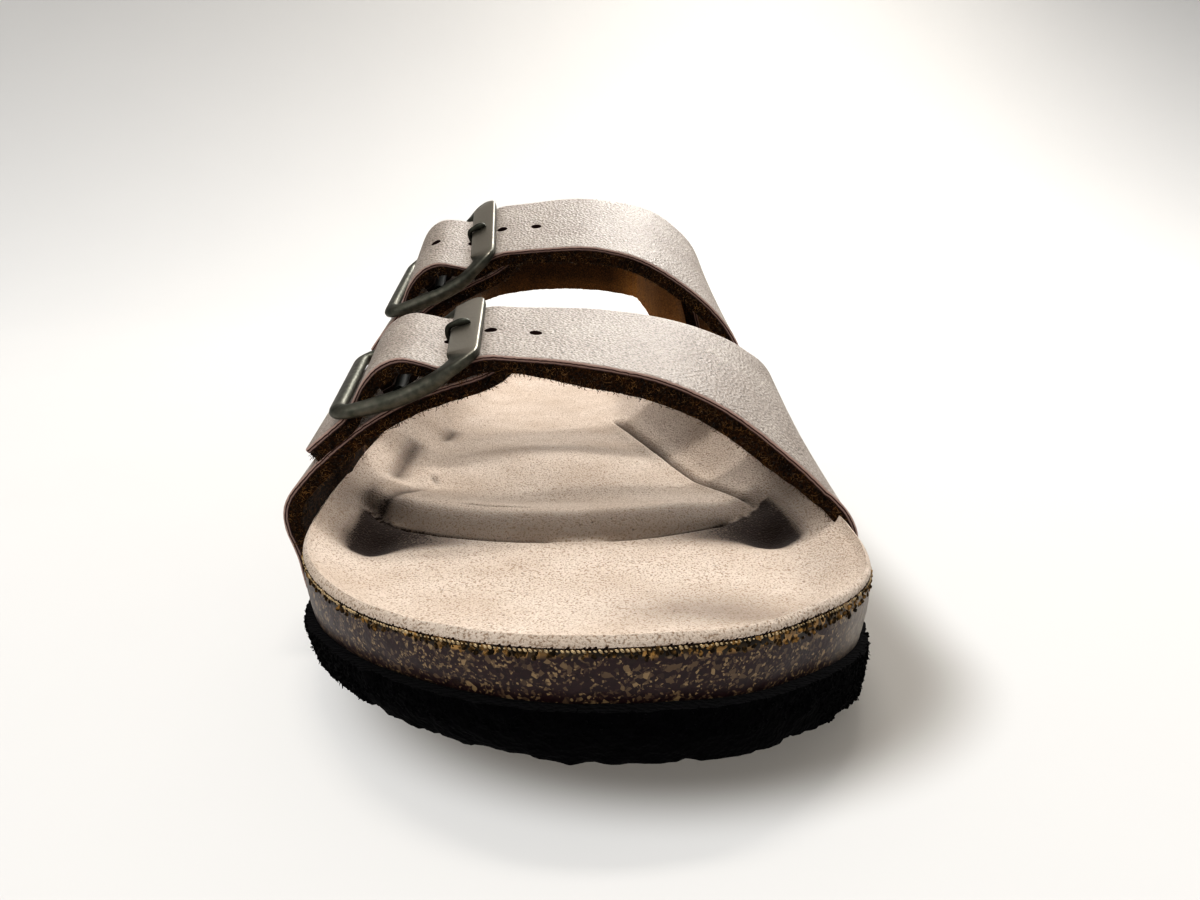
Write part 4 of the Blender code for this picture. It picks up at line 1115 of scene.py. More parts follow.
def new_tree(name, *labels):
    """Geometry tree with named inputs, a way to add nodes, and the sockets that carry the inputs."""
    tree = bpy.data.node_groups.new(name, "GeometryNodeTree")
    kinds = {"Geometry": "Geometry", "Seed": "Int", "Material": "Material", "Places": "Object"}
    for label in ("Geometry", *labels, "Material"):
        tree.interface.new_socket(label, in_out="INPUT", socket_type="NodeSocket" + kinds.get(label, "Float"))
    tree.interface.new_socket("Geometry", in_out="OUTPUT", socket_type="NodeSocketGeometry")
    add = partial(add_node, tree)
    return tree, add, add("NodeGroupInput").outputs


def set_out(add, given, points, shape, turned, **more):
    """One shape on each point, made real and given its material."""
    inputs = {"Points": points, "Instance": shape, "Rotation": turned, **more}
    whole = add("GeometryNodeRealizeInstances", {0: add("GeometryNodeInstanceOnPoints", inputs)})
    return add("GeometryNodeSetMaterial", {"Geometry": whole, "Material": given["Material"]})


def crumb_tree(name):
    """Small broken grains strewn over a face, each turned and sized by chance."""
    tree, add, given = new_tree(name, "Per Area", "Size", "Length", "Seed")
    seed = given["Seed"]
    spread = {"Mesh": given["Geometry"], "Density": given["Per Area"], "Seed": seed}
    spots = add("GeometryNodeDistributePointsOnFaces", spread)
    any_turn = {0: grey(0.0), 1: grey(FULL_TURN), "Seed": seed}
    turned = add("FunctionNodeRandomValue", any_turn, data_type="FLOAT_VECTOR")
    share = add("FunctionNodeRandomValue", {2: 0.35, 3: 1.0, "Seed": seed}, data_type="FLOAT").outputs[1]
    grain = add("GeometryNodeMeshUVSphere", {"Segments": 5, "Rings": 3, "Radius": 0.5})
    size = add("CombineXYZ", {0: given["Length"], 1: given["Size"], 2: given["Size"]})
    sized = add("VectorMath", {0: size, "Scale": share}, operation="SCALE")
    add("NodeGroupOutput", {0: set_out(add, given, spots, grain, turned, Scale=sized)})
    return tree


def hair_tree(name):
    """Short curled hairs that stand off a face, thickest where the face is marked fuzzy.

    The thickest are 0.13 mm thick, coarser than real wool, so that they show at the picture's size.
    """
    tree, add, given = new_tree(name, "Per Area", "Length", "Seed")
    seed = given["Seed"]
    fuzz = add("GeometryNodeInputNamedAttribute", {"Name": "fuzz"}, data_type="FLOAT")
    dense = add("Math", {0: fuzz, 1: given["Per Area"]}, operation="MULTIPLY")
    spread = {"Mesh": given["Geometry"], "Density": dense, "Seed": seed}
    spots = add("GeometryNodeDistributePointsOnFaces", spread)
    bend = {"Resolution": 2, "Start": (0.0, 0.0, -0.08), "Middle": (0.1, 0.0, 0.62), "End": (0.62, 0.2, 0.55)}
    curl = add("GeometryNodeCurveQuadraticBezier", bend)
    round_edge = add("GeometryNodeCurvePrimitiveCircle", {"Resolution": 3, "Radius": 0.05})
    hair = add("GeometryNodeCurveToMesh", {"Curve": curl, "Profile Curve": round_edge, "Fill Caps": True})
    any_lean = {0: (-1.0, -1.0, 0.0), 1: (1.0, 1.0, FULL_TURN), "Seed": seed}
    lean = add("FunctionNodeRandomValue", any_lean, data_type="FLOAT_VECTOR")
    lean = add("FunctionNodeEulerToRotation", {0: lean})
    upright = spots.outputs["Rotation"]
    turned = add("FunctionNodeRotateRotation", {0: upright, 1: lean}, rotation_space="LOCAL")
    share = add("FunctionNodeRandomValue", {2: 0.35, 3: 1.0, "Seed": seed}, data_type="FLOAT").outputs[1]
    size = add("Math", {0: share, 1: given["Length"]}, operation="MULTIPLY")
    add("NodeGroupOutput", {0: set_out(add, given, spots, hair, turned, Scale=size)})
    return tree


def bead_tree(name):
    """Row of short yarn knots along an edge, at an even pitch and slant."""
    tree, add, given = new_tree(name, "Pitch", "Length", "Thickness", "Slant", "Seed")
    path = add("GeometryNodeMeshToCurve", {0: given["Geometry"]})
    row = add("GeometryNodeCurveToPoints", {"Curve": path, "Length": given["Pitch"]}, mode="LENGTH")
    ahead = add("FunctionNodeAlignRotationToVector", {"Vector": row.outputs["Tangent"]}, axis="X")
    some = {2: 0.5, 3: 1.3, "Seed": given["Seed"]}
    chance = add("FunctionNodeRandomValue", some, data_type="FLOAT").outputs[1]
    slant = add("Math", {0: given["Slant"], 1: chance}, operation="MULTIPLY")
    tipped = add("FunctionNodeEulerToRotation", {0: add("CombineXYZ", {1: slant})})
    turned = add("FunctionNodeRotateRotation", {0: ahead, 1: tipped}, rotation_space="LOCAL")
    knot = add("GeometryNodeMeshUVSphere", {"Segments": 6, "Rings": 4, "Radius": 0.5})
    size = add("CombineXYZ", {0: given["Length"], 1: given["Thickness"], 2: given["Thickness"]})
    sized = add("VectorMath", {0: size, "Scale": chance}, operation="SCALE")
    add("NodeGroupOutput", {0: set_out(add, given, row, knot, turned, Scale=sized)})
    return tree


def punch_tree(name):
    """Round holes through a strap, one at each point of another mesh, along its marked axis."""
    tree, add, given = new_tree(name, "Places", "Radius", "Depth")
    places = add("GeometryNodeObjectInfo", {"Object": given["Places"]})
    dots = add("GeometryNodeMeshToPoints", {0: places.outputs["Geometry"]})
    axis = add("GeometryNodeInputNamedAttribute", {"Name": "axis"}, data_type="FLOAT_VECTOR")
    turned = add("FunctionNodeAlignRotationToVector", {"Vector": axis}, axis="Z")
    size = {"Vertices": 22, "Radius": given["Radius"], "Depth": given["Depth"]}
    lined = set_out(add, given, dots, add("GeometryNodeMeshCylinder", size), turned)
    both = {0: given["Geometry"], 1: lined}
    add("NodeGroupOutput", {0: add("GeometryNodeMeshBoolean", both, operation="DIFFERENCE", solver="EXACT")})
    return tree


def apply_tree(obj, maker, values):
    """Runs a geometry tree on a piece and keeps the result as its plain mesh."""
    name = maker.__name__
    tree = bpy.data.node_groups.get(name) or maker(name)
    modifier = obj.modifiers.new(name, "NODES")
    modifier.node_group = tree
    for item in tree.interface.items_tree:
        if item.in_out == "INPUT" and item.name in values:
            modifier[item.identifier] = values[item.name]
    bpy.context.view_layer.update()
    graph = bpy.context.evaluated_depsgraph_get()
    mesh = bpy.data.meshes.new_from_object(obj.evaluated_get(graph))
    old = obj.data
    obj.modifiers.remove(modifier)
    obj.data = mesh
    mesh.name = obj.name
    bpy.data.meshes.remove(old)
    if not mesh.polygons:
        raise RuntimeError(f"{obj.name}: the geometry tree {name} made nothing")
    mesh.shade_smooth()
    return obj


def strewn(name, points, faces, values):
    """Grains over a strip of faces that is itself not shown."""
    piece = new_piece(name, points, faces, [])
    return apply_tree(piece, crumb_tree, values)


def make_crumbs(sole, wall, strips):
    """Loose rubber grains and threads on the outsole's cut side."""
    rubber = finish_named("black crumb rubber", crumb_rubber, sole)
    per_area = sole.crumbs_per_area / MM ** 2
    x, y, z = wall[np.array(strips)].mean(axis=1).T
    half_way = (base_height("cork_base", x, y) + base_height("tread", x, y)) / 2
    kept = (z > 1.4) & ((np.abs(x) > 34.0) | (y > 45.0) | (z > half_way))
    strips = [face for face, keep in zip(strips, kept) if keep]
    grains = strewn(
        "outsole_crumbs", wall, strips,
        {"Per Area": per_area, "Size": 0.7 * MM, "Length": 1.1 * MM, "Seed": 11, "Material": rubber},
    )
    threads = strewn(
        "outsole_threads", wall, strips,
        {"Per Area": per_area * 0.35, "Size": 0.22 * MM, "Length": 2.6 * MM, "Seed": 12, "Material": rubber},
    )
    for piece in (grains, threads):
        settle(piece, "outsole_rubber")


def seam_path(name, out, down):
    """Closed line of points along the seam."""
    edge, outward = outline_at(even_turns(620))
    rim = rim_height(edge[:, 0], edge[:, 1]) - FOOTBED_THICKNESS
    points = np.column_stack([edge + outward * out, rim - down])
    mesh = bpy.data.meshes.new(name)
    count = len(points)
    mesh.from_pydata(in_frame(points).tolist(), [(i, (i + 1) % count) for i in range(count)], [])
    return shown(name, mesh)


def make_seam(sole):
    """Edge of the footbed: dark binding yarn, a row of pale jute knots and torn cork below."""
    pale = finish_named("pale jute yarn", yarn, "pale jute yarn", linear("#BDAA8A"))
    dark = finish_named("dark edge yarn", yarn, "dark edge yarn", linear("#2A1C17"))
    gold = finish_named("torn golden cork", torn_cork, sole)
    pitch = sole.seam_pitch
    knot = {"Length": 0.95 * pitch, "Thickness": 0.34 * MM, "Slant": 0.6, "Seed": 21, "Material": pale}
    knots = apply_tree(seam_path("seam_jute_knots", 0.05, 0.42), bead_tree, {"Pitch": pitch, **knot})
    wrap = {"Length": 1.2 * pitch, "Thickness": 0.36 * MM, "Slant": -0.6, "Seed": 22, "Material": dark}
    binding = apply_tree(seam_path("seam_dark_yarn", -0.12, 0.02), bead_tree, {"Pitch": pitch, **wrap})
    edge, outward = outline_at(even_turns(520))
    rim = rim_height(edge[:, 0], edge[:, 1]) - FOOTBED_THICKNESS
    count = len(edge)
    reach = np.maximum(torn_reach(np.column_stack([edge, rim])), 0.3)
    upper = np.column_stack([edge - outward * 0.15, rim - 0.5])
    lower = np.column_stack([edge - outward * 0.15, rim - 0.5 - reach])
    strip = quads(list(range(count)), list(range(count, 2 * count)))
    bits = strewn(
        "seam_torn_cork", np.concatenate([upper, lower]), strip,
        {"Per Area": 1.6 / MM ** 2, "Size": 1.0 * MM, "Length": 1.7 * MM, "Seed": 23, "Material": gold},
    )
    settle(knots, "suede")
    settle(binding, "suede")
    settle(bits, "cork")


def slab(under, over, rows):
    """Closed shell between two grids, its edge drawn through rows of share down and outset.

    Gives points, faces, each face's kind (0 over, 1 edge, 2 under) and each point's layer, 1 on top.
    """
    high, wide = over.shape[:2]
    size = high * wide
    border = [(i, 0) for i in range(high)]
    border += [(high - 1, j) for j in range(1, wide)]
    border += [(i, wide - 1) for i in range(high - 2, -1, -1)]
    border += [(0, j) for j in range(wide - 2, 0, -1)]
    i, j = np.array(border).T
    top = over[i, j]
    low = under[i, j]
    outward = top - over[np.clip(i, 1, high - 2), np.clip(j, 1, wide - 2)]
    outward /= np.linalg.norm(outward, axis=1)[:, None]
    points = [over.reshape(-1, 3), under.reshape(-1, 3)]
    layer = [np.ones(size), np.zeros(size)]
    loops = [i * wide + j]
    for share, outset in rows:
        ring = top * (1 - share) + low * share
        outset = outset(ring) if callable(outset) else outset
        points.append(ring + outward * np.reshape(outset, (-1, 1)))
        layer.append(np.full(len(ring), 1 - share))
        loops.append(2 * size + (len(points) - 3) * len(ring) + np.arange(len(ring)))
    loops.append(size + i * wide + j)
    faces = []
    kinds = []
    for a in range(high - 1):
        for b in range(wide - 1):
            k = a * wide + b
            faces.append((k, k + 1, k + wide + 1, k + wide))
            faces.append((size + k, size + k + wide, size + k + wide + 1, size + k + 1))
            kinds += [0, 2]
    for a, b in zip(loops, loops[1:]):
        strip = quads(a.tolist(), b.tolist())
        faces += strip
        kinds += [1] * len(strip)
    return np.concatenate(points), faces, np.array(kinds), np.concatenate(layer)


LEATHER_ROWS = ((0.08, 0.1), (0.2, 0.17), (0.4, 0.18), (0.6, 0.18), (0.8, 0.17), (0.94, 0.1))


def felt_edge(ring):
    return 0.12 + 0.22 * lumps(ring, 1.6, 9)


FELT_ROWS = tuple((share, felt_edge) for share in (0.1, 0.3, 0.55, 0.8, 0.95))


def make_layers(name, straps, surface, thickness, pale=None, hair_share=1.0, swell=0.0):
    """Leather face and felt lining of a strap from one surface; surface(height) gives its grid.

    The pale grid tells how much painted light makes the lining paler, the hair share how hairy its
    edge is, and the swell grid how far the felt bulges more than its loft.
    """
    felt_top = thickness - straps.leather_thickness / MM
    leather = finish_named("fine grained taupe leather", grained_leather, straps)
    edge = finish_named("strap cut edge", cut_edge, straps)
    felt = finish_named("needled ochre felt", needled_felt, straps)
    points, faces, kinds, layer = slab(surface(felt_top), surface(thickness), LEATHER_ROWS)
    face = new_piece(
        f"{name}_leather", points, faces, [leather, edge], np.minimum(kinds, 1), {"layer": layer}
    )
    under = surface(0.0)
    up = (surface(0.4) - under) / 0.4
    under = under + up * (0.15 * lumps(under, 2.2, 10) - straps.felt_loft / MM - swell)[..., None]
    points, faces, _, _ = slab(under, surface(felt_top - 0.04), FELT_ROWS)
    high, wide = under.shape[:2]
    row, column = np.indices((high, wide))
    from_edge = np.minimum.reduce([row, high - 1 - row, column, wide - 1 - column])
    inner = np.where(from_edge < 3, 0.35, 0.05).reshape(-1)
    fuzz = np.concatenate([np.zeros(high * wide), inner, np.ones(len(points) - 2 * high * wide)])
    painted_light = np.zeros(len(points))
    if pale is not None:
        painted_light[high * wide:2 * high * wide] = pale.reshape(-1)
    lining = new_piece(f"{name}_felt", points, faces, [felt], marks={"fuzz": fuzz, "pale": painted_light})
    hairs = shown(f"{name}_felt_hairs", lining.data.copy())
    apply_tree(
        hairs, hair_tree,
        {
            "Per Area": hair_share * straps.hairs_per_area / MM ** 2,
            "Length": (0.5 + 0.5 * hair_share) * straps.hair_length,
            "Seed": 31,
            "Material": finish_named("golden wool hair", wool_hair, straps),
        },
    )
    return face, lining, hairs


def settle_layers(name, layers):
    """Rides a strap's face, lining and hairs; the face stands for the solid."""
    settle(layers[0], "strap_leather", name)
    for piece in layers[1:]:
        settle(piece, "strap_leather")


def hole_places(name, side):
    """Points and axes of the adjusting holes along the middle of a strap's free end."""
    middle = FREE_END_WIDTH / 2
    from_bar = np.array(side["holes"])

    def at(step, across):
        height = strap_lift(from_bar + step) + STRAP_THICKNESS / 2
        return lifted(side["sheet"], side["bar_run"] + from_bar + step, middle + across, height)

    centre = at(0.0, 0.0)
    axis = np.cross(at(1.0, 0.0) - centre, at(0.0, 1.0) - centre)
    axis /= np.linalg.norm(axis, axis=1)[:, None]
    mesh = bpy.data.meshes.new(name)
    mesh.from_pydata(in_frame(centre).tolist(), [], [])
    axes = mesh.attributes.new("axis", "FLOAT_VECTOR", "POINT")
    axes.data.foreach_set("vector", axis.astype(np.float32).ravel())
    return shown(name, mesh)


def even_shares(count):
    """Shares from 0 to 1 that lie closer together at both edges."""
    t = np.linspace(0.0, 1.0, count)
    return 0.6 * t + 0.4 * ease(t)


def make_strap(side, straps):
    """Long strap, from its free end past the buckle to the inner side's base."""
    sheet = side["sheet"]
    bar_run = side["bar_run"]
    near = np.arange(bar_run + LIFT[0][0], bar_run + FREE_END_BLEND, 0.9)
    far = np.linspace(bar_run + FREE_END_BLEND, sheet["run"][-1], 90)
    run = np.concatenate([near, far])[:, None]
    share = even_shares(27)[None, :]
    run = np.repeat(run, share.shape[1], axis=1)
    across = free_end_width(sheet, bar_run, run) * share
    lift = strap_lift(run - bar_run)
    flat = np.stack([run, across, 0 * run], axis=-1)
    sway = 0.18 * lumps(flat, 22.0, 13) * ease((run - bar_run - 6.0) / 20.0)
    dent = np.zeros_like(run)
    for from_bar in side["holes"]:
        away = np.hypot(run - bar_run - from_bar, across - FREE_END_WIDTH / 2)
        dent = np.maximum(dent, 0.3 * np.exp(-(away / 2.0) ** 2))

    def surface(height):
        return lifted(sheet, run, across, lift + sway + height - dent * (height > 2.0))

    name = f"{side['name']}_strap"
    end = sheet["run"][-1]
    past_buckle = ease((run - bar_run - 6.0) / 16.0) * ease((end - 16.0 - run) / side["felt_fade"])
    swell = side["felt_swell"] * past_buckle * ease((9.0 - across) / 8.0)
    # Painted light on the lining at the strap's inner side
    pale = side["inner_painted_light"] * ease((run - end + 62.0) / 20.0) * ease((across - 3.0) / 4.0)
    layers = make_layers(name, straps, surface, STRAP_THICKNESS, pale, swell=swell)
    places = hole_places(f"{name}_hole_places", side)
    edge = finish_named("strap cut edge", cut_edge, straps)
    punch = {"Places": places, "Radius": straps.hole_radius, "Depth": 9.0 * MM, "Material": edge}
    for piece in layers[:2]:
        apply_tree(piece, punch_tree, punch)
        piece.data.set_sharp_from_angle(angle=radians(50))
    bpy.data.objects.remove(places)
    settle_layers(name, layers)


def make_tab(side, straps):
    """Short piece on the outer side, with a rounded end under the strap."""
    sheet = side["sheet"]
    bar_run = side["bar_run"]
    end = bar_run + TAB_PAST_BAR
    round_run = end - TAB_ROUND * (1 - np.sin(np.linspace(0.0, np.pi / 2, 14)))
    run = np.concatenate([np.linspace(0.0, end - TAB_ROUND, 66)[:-1], round_run])[:, None]
    share = (2 * even_shares(25) - 1)[None, :]
    run = np.repeat(run, share.shape[1], axis=1)
    taper = ease((run - bar_run + 34.0) / 20.0)
    width = sheet_width(sheet, run) * (1 - taper) + (FREE_END_WIDTH - TAB_INSET) * taper
    closing = np.clip((run - (end - TAB_ROUND)) / TAB_ROUND, 0.0, 0.985)
    middle = width / 2 + TAB_INSET * taper / 2
    across = middle + width / 2 * np.sqrt(1 - closing ** 2) * share
    pull = TAB_PULL * ease((across - 16.0) / 16.0) * np.exp(-((run - 17.0) / 8.0) ** 2)

    def surface(height):
        return lifted(sheet, run, across, height - pull)

    name = f"{side['name']}_strap_tab"
    settle_layers(name, make_layers(name, straps, surface, STRAP_THICKNESS))


def make_heel_strap(straps):
    """Strap round the heel, its ends laid inside the rear strap's two sides."""
    rear = REAR["sheet"]
    across = np.linspace(HEEL_LAP_START, HEEL_LAP_END, HEEL_LAP_STEPS)
    total = rear["run"][-1]
    clear = GAP + 0.1
    outer_low = lifted(rear, HEEL_OUTER_LOW_RUN, across, -clear)
    outer_high = lifted(rear, HEEL_OUTER_HIGH_RUN, across, -clear)
    inner_low = lifted(rear, total - HEEL_INNER_LOW_RUN, across, -clear)
    inner_high = lifted(rear, total - HEEL_INNER_HIGH_RUN, across, -clear)
    table = np.array(HEEL_ROWS)
    low = np.concatenate([outer_low, table[:, :3], inner_low[::-1]])
    high = np.concatenate([outer_high, table[:, 3:], inner_high[::-1]])
    run = run_along((low + high) / 2)
    at = np.linspace(0.0, run[-1], 180)
    low = np.stack([smooth(run, low[:, i], at) for i in range(3)], axis=1)
    high = np.stack([smooth(run, high[:, i], at) for i in range(3)], axis=1)
    share = even_shares(17)[None, :, None]
    outer_face = low[:, None] * (1 - share) + high[:, None] * share
    along = np.gradient(outer_face, axis=0)
    inward = np.cross(along, np.repeat((high - low)[:, None, :], share.shape[1], axis=1))
    inward /= np.linalg.norm(inward, axis=2)[:, :, None]
    if ((HEEL_MIDDLE - outer_face) * inward).sum() < 0:
        inward = -inward
    wrinkle = np.zeros(len(at))
    for place, depth, wide in HEEL_WRINKLES:
        wrinkle += depth * np.exp(-((at - place * run[-1]) / wide) ** 2)

    def surface(height):
        dip = wrinkle[:, None, None] * (1 - height / HEEL_THICKNESS)
        return outer_face + inward * (HEEL_THICKNESS - height - dip)

    # Painted light on the lining: paler at the inner part and along the lower edge, darker towards the top in
    # the rear strap's shade
    inner_part = ease((at / run[-1] - 0.57) / 0.07)[:, None]
    rise = share[:, :, 0]
    pale = (1.0 - 0.7 * rise) * (0.04 + 0.8 * inner_part) + 0.2 * np.exp(-(rise / 0.2) ** 2)
    settle_layers("heel_strap", make_layers("heel_strap", straps, surface, HEEL_THICKNESS, pale, 0.25))


def hoop(rings, round_trip):
    """Points and faces through a row of rings: a closed hoop, or a bar with capped ends."""
    rings = np.asarray(rings)
    count, sides = rings.shape[:2]
    faces = []
    for i in range(count if round_trip else count - 1):
        k = (i + 1) % count
        faces += [(i * sides + j, i * sides + (j + 1) % sides, k * sides + (j + 1) % sides, k * sides + j)
                  for j in range(sides)]
    if not round_trip:
        faces += [tuple(range(sides)), tuple((count - 1) * sides + j for j in range(sides))]
    return rings.reshape(-1, 3), faces


def ring_at(sheet, run, across, height, wide, thick, way, square, sides):
    """Rounded ring round a place on a strap, square to a direction in (run, across)."""
    angle = 2 * np.pi * np.arange(sides) / sides
    out = np.sign(np.cos(angle)) * np.abs(np.cos(angle)) ** (2 / square) * wide
    up = np.sign(np.sin(angle)) * np.abs(np.sin(angle)) ** (2 / square) * thick
    return lifted(sheet, run - way[1] * out, across + way[0] * out, height + up)


def buckle_path():
    """Rounded oblong that the buckle's frame follows, from its middle, and its headings."""
    half = np.array([BUCKLE_LENGTH, FREE_END_WIDTH + 2 * BUCKLE_MARGIN]) / 2
    path = []
    for quarter, sign in enumerate(((1, 1), (-1, 1), (-1, -1), (1, -1))):
        for turn in np.pi / 2 * (quarter + np.linspace(0.0, 1.0, 9)):
            arc = BUCKLE_CORNER * np.array([np.cos(turn), np.sin(turn)])
            path.append(np.array(sign) * (half - BUCKLE_CORNER) + arc)
    full = []
    for a, b in zip(path, path[1:] + path[:1]):
        pieces = max(1, int(round(np.linalg.norm(b - a) / 1.2)))
        full += [a + (b - a) * k / pieces for k in range(pieces)]
    full = np.array(full)
    heading = np.roll(full, -1, axis=0) - np.roll(full, 1, axis=0)
    return full, heading / np.linalg.norm(heading, axis=1)[:, None]


def make_buckle(side, buckles):
    """Metal frame: wide bar over the strap, bowed rails, outer bar, middle bar and prong."""
    sheet = side["sheet"]
    bar_run = side["bar_run"]
    middle_line = FREE_END_WIDTH / 2
    angle = 2 * np.pi * np.arange(BUCKLE_SIDES) / BUCKLE_SIDES
    rings = []
    worn = []
    for (from_middle, across), way in zip(*buckle_path()):
        from_bar = from_middle - BUCKLE_LENGTH / 2
        height, wide, thick, square = (
            float(smooth(BUCKLE["from_bar"], BUCKLE[key], from_bar)) for key in BUCKLE_COLUMNS[1:]
        )
        place = (sheet, bar_run + from_bar, middle_line + across, height)
        rings.append(ring_at(*place, wide, thick, way, square, BUCKLE_SIDES))
        # The wide bar's top is rubbed bright, and its sides stay darker as painted shade
        on_bar = ease((from_bar + 2.6) / 1.2) * ease((17.0 - abs(across)) / 1.0)
        worn.append(FRAME_WORN + WIDE_BAR_WEAR_AND_SHADE * on_bar * ease((np.sin(angle) - 0.45) / 0.3))
    shells = [hoop(rings, True)]
    marks = [np.concatenate(worn)]
    reach = middle_line + BUCKLE_MARGIN
    bar = [
        ring_at(sheet, bar_run + MIDDLE_BAR_RUN, middle_line + across, MIDDLE_BAR_HEIGHT, MIDDLE_BAR_RADIUS,
                MIDDLE_BAR_RADIUS, (0.0, 1.0), 2.0, BAR_SIDES)
        for across in np.linspace(-reach, reach, MIDDLE_BAR_RINGS)
    ]
    shells.append(hoop(bar, False))
    # Painted shade: the middle bar under the strap is darkened
    marks.append(np.full(MIDDLE_BAR_RINGS * BAR_SIDES, MIDDLE_BAR_SHADE))
    rows = np.array(PRONG_ROWS)
    knots = np.arange(len(rows))
    fine = np.linspace(0.0, len(rows) - 1, 26)
    rows = np.stack([smooth(knots, rows[:, i], fine) for i in range(3)], axis=1)
    rows = np.concatenate([rows, rows[-1:] + (rows[-1:] - rows[-2:-1]) * 0.8])
    rows[-1, 2] *= 0.45
    turn = 2 * np.pi * np.arange(BAR_SIDES) / BAR_SIDES
    prong = []
    for i, (from_bar, height, radius) in enumerate(rows):
        ahead = rows[min(i + 1, len(rows) - 1)] - rows[max(i - 1, 0)]
        way = ahead[:2] / np.linalg.norm(ahead[:2])
        runs = bar_run + from_bar - way[1] * radius * np.cos(turn)
        heights = height + way[0] * radius * np.cos(turn)
        prong.append(lifted(sheet, runs, middle_line + radius * np.sin(turn), heights))
    shells.append(hoop(prong, False))
    marks.append(np.zeros(len(rows) * BAR_SIDES))
    points = []
    faces = []
    total = 0
    for shell_points, shell_faces in shells:
        points.append(shell_points)
        faces += [tuple(i + total for i in face) for face in shell_faces]
        total += len(shell_points)
    pewter = finish_named("antique pewter", worn_pewter, buckles)
    name = f"{side['name']}_buckle"
    marks = {"worn": np.concatenate(marks)}
    piece = new_piece(f"{name}_metal", np.concatenate(points), faces, [pewter], marks=marks, sharp=60.0)
    return settle(piece, "buckle_metal", name)


def make_keeper(side, buckles):
    """Folded leather loop round the middle bar, its two ends lying on the tab."""
    inner = MIDDLE_BAR_RADIUS + GAP
    outer = inner + KEEPER_THICKNESS
    base = MIDDLE_BAR_HEIGHT - outer
    end = -KEEPER_TAIL
    fold = np.linspace(-0.5 * np.pi, 0.72 * np.pi, 26)
    profile = [(end, base)]
    profile += [(outer * np.cos(a), MIDDLE_BAR_HEIGHT + outer * np.sin(a)) for a in fold]
    profile += [(-4.2, base + 2 * KEEPER_THICKNESS + 0.2), (end, base + 2 * KEEPER_THICKNESS + 0.2)]
    profile += [(end, base + KEEPER_THICKNESS + 0.15), (-3.4, base + KEEPER_THICKNESS + 0.15)]
    profile += [(inner * np.cos(a), MIDDLE_BAR_HEIGHT + inner * np.sin(a)) for a in fold[::-1]]
    profile += [(-2.6, base + KEEPER_THICKNESS), (end, base + KEEPER_THICKNESS)]
    profile = np.array(profile)
    run = side["bar_run"] + MIDDLE_BAR_RUN + profile[:, 0]
    rings = [
        lifted(side["sheet"], run, FREE_END_WIDTH / 2 + across, profile[:, 1])
        for across in np.linspace(-KEEPER_WIDTH / 2, KEEPER_WIDTH / 2, 9)
    ]
    points, faces = hoop(rings, False)
    leather = finish_named("dark loop leather", loop_leather, buckles)
    name = f"{side['name']}_buckle_keeper"
    return settle(new_piece(f"{name}_loop", points, faces, [leather], sharp=40.0), "keeper_leather", name)


def make_stage(stage):
    """Seamless paper sweep, soft light from above, behind and in front, and the camera at the toe."""
    scene = bpy.context.scene
    sweep = stage.sweep_start
    bend = stage.sweep_bend
    profile = [(-SWEEP_HALF_WIDTH, 0.0), (-1.0, 0.0), (sweep, 0.0)]
    profile += [(sweep + bend * np.sin(t), bend * (1 - np.cos(t))) for t in np.linspace(0.08, np.pi / 2, 20)]
    profile += [(sweep + bend, SWEEP_HEIGHT)]
    points = [(x, y, z) for y, z in profile for x in (-SWEEP_HALF_WIDTH, SWEEP_HALF_WIDTH)]
    faces = [(2 * i, 2 * i + 1, 2 * i + 3, 2 * i + 2) for i in range(len(profile) - 1)]
    mesh = bpy.data.meshes.new("paper_sweep")
    mesh.from_pydata(points, [], faces)
    mesh.materials.append(finish_named("matt white paper", paper_sweep, stage))
    mesh.shade_smooth()
    shown("paper_sweep", mesh)

    scene.world = bpy.data.worlds.new("studio")
    scene.world.use_nodes = True
    tree = scene.world.node_tree
    back = tree.nodes["Background"]
    back.inputs["Color"].default_value = (*stage.room_colour, 1.0)
    add = partial(add_node, tree)
    way = add("TexCoord").outputs["Generated"]
    high = add("VectorMath", {0: way, 1: ROOM_LIGHT_WAY}, operation="DOT_PRODUCT").outputs["Value"]
    glow = add("MapRange", {0: high, 1: -0.3, 2: 0.9, 3: stage.room_low, 4: stage.room_strength})
    seen = add("LightPath").outputs["Is Camera Ray"]
    strength = add("Mix", {0: seen, 2: glow, 3: ROOM_SEEN}, data_type="FLOAT")
    tree.links.new(strength.outputs[0], back.inputs["Strength"])

    for name, place, aim, size, power, shadow in LIGHTS:
        light = bpy.data.lights.new(name, "AREA")
        light.shape = "RECTANGLE"
        light.size, light.size_y = size
        light.energy = getattr(stage, power)
        light.use_shadow = shadow
        light.color = LIGHT_COLOUR
        lamp = shown(name, light)
        lamp.location = place
        lamp.rotation_euler = (Vector(aim) - Vector(place)).to_track_quat("-Z", "Y").to_euler()

    camera = bpy.data.cameras.new("front_camera")
    camera.sensor_width = CAMERA_SENSOR
    camera.lens = CAMERA_LENS
    camera.clip_start = 0.01
    scene.camera = shown("front_camera", camera)
    scene.camera.location = CAMERA_PLACE
    scene.camera.rotation_euler = [radians(angle) for angle in CAMERA_TURN]
    scene.view_settings.view_transform = "Standard"
    scene.view_settings.look = "High Contrast"


def colour_property(name, description, code):
    return bpy.props.FloatVectorProperty(
        name=name, description=description, subtype="COLOR", size=3, min=0.0, max=1.0, default=linear(code)
    )


def length_property(name, description, millimetres):
    return bpy.props.FloatProperty(
        name=name, description=description, unit="LENGTH", precision=5, min=0.0, default=millimetres * MM
    )


def number_property(name, description, default, **more):
    return bpy.props.FloatProperty(name=name, description=description, min=0.0, default=default, **more)


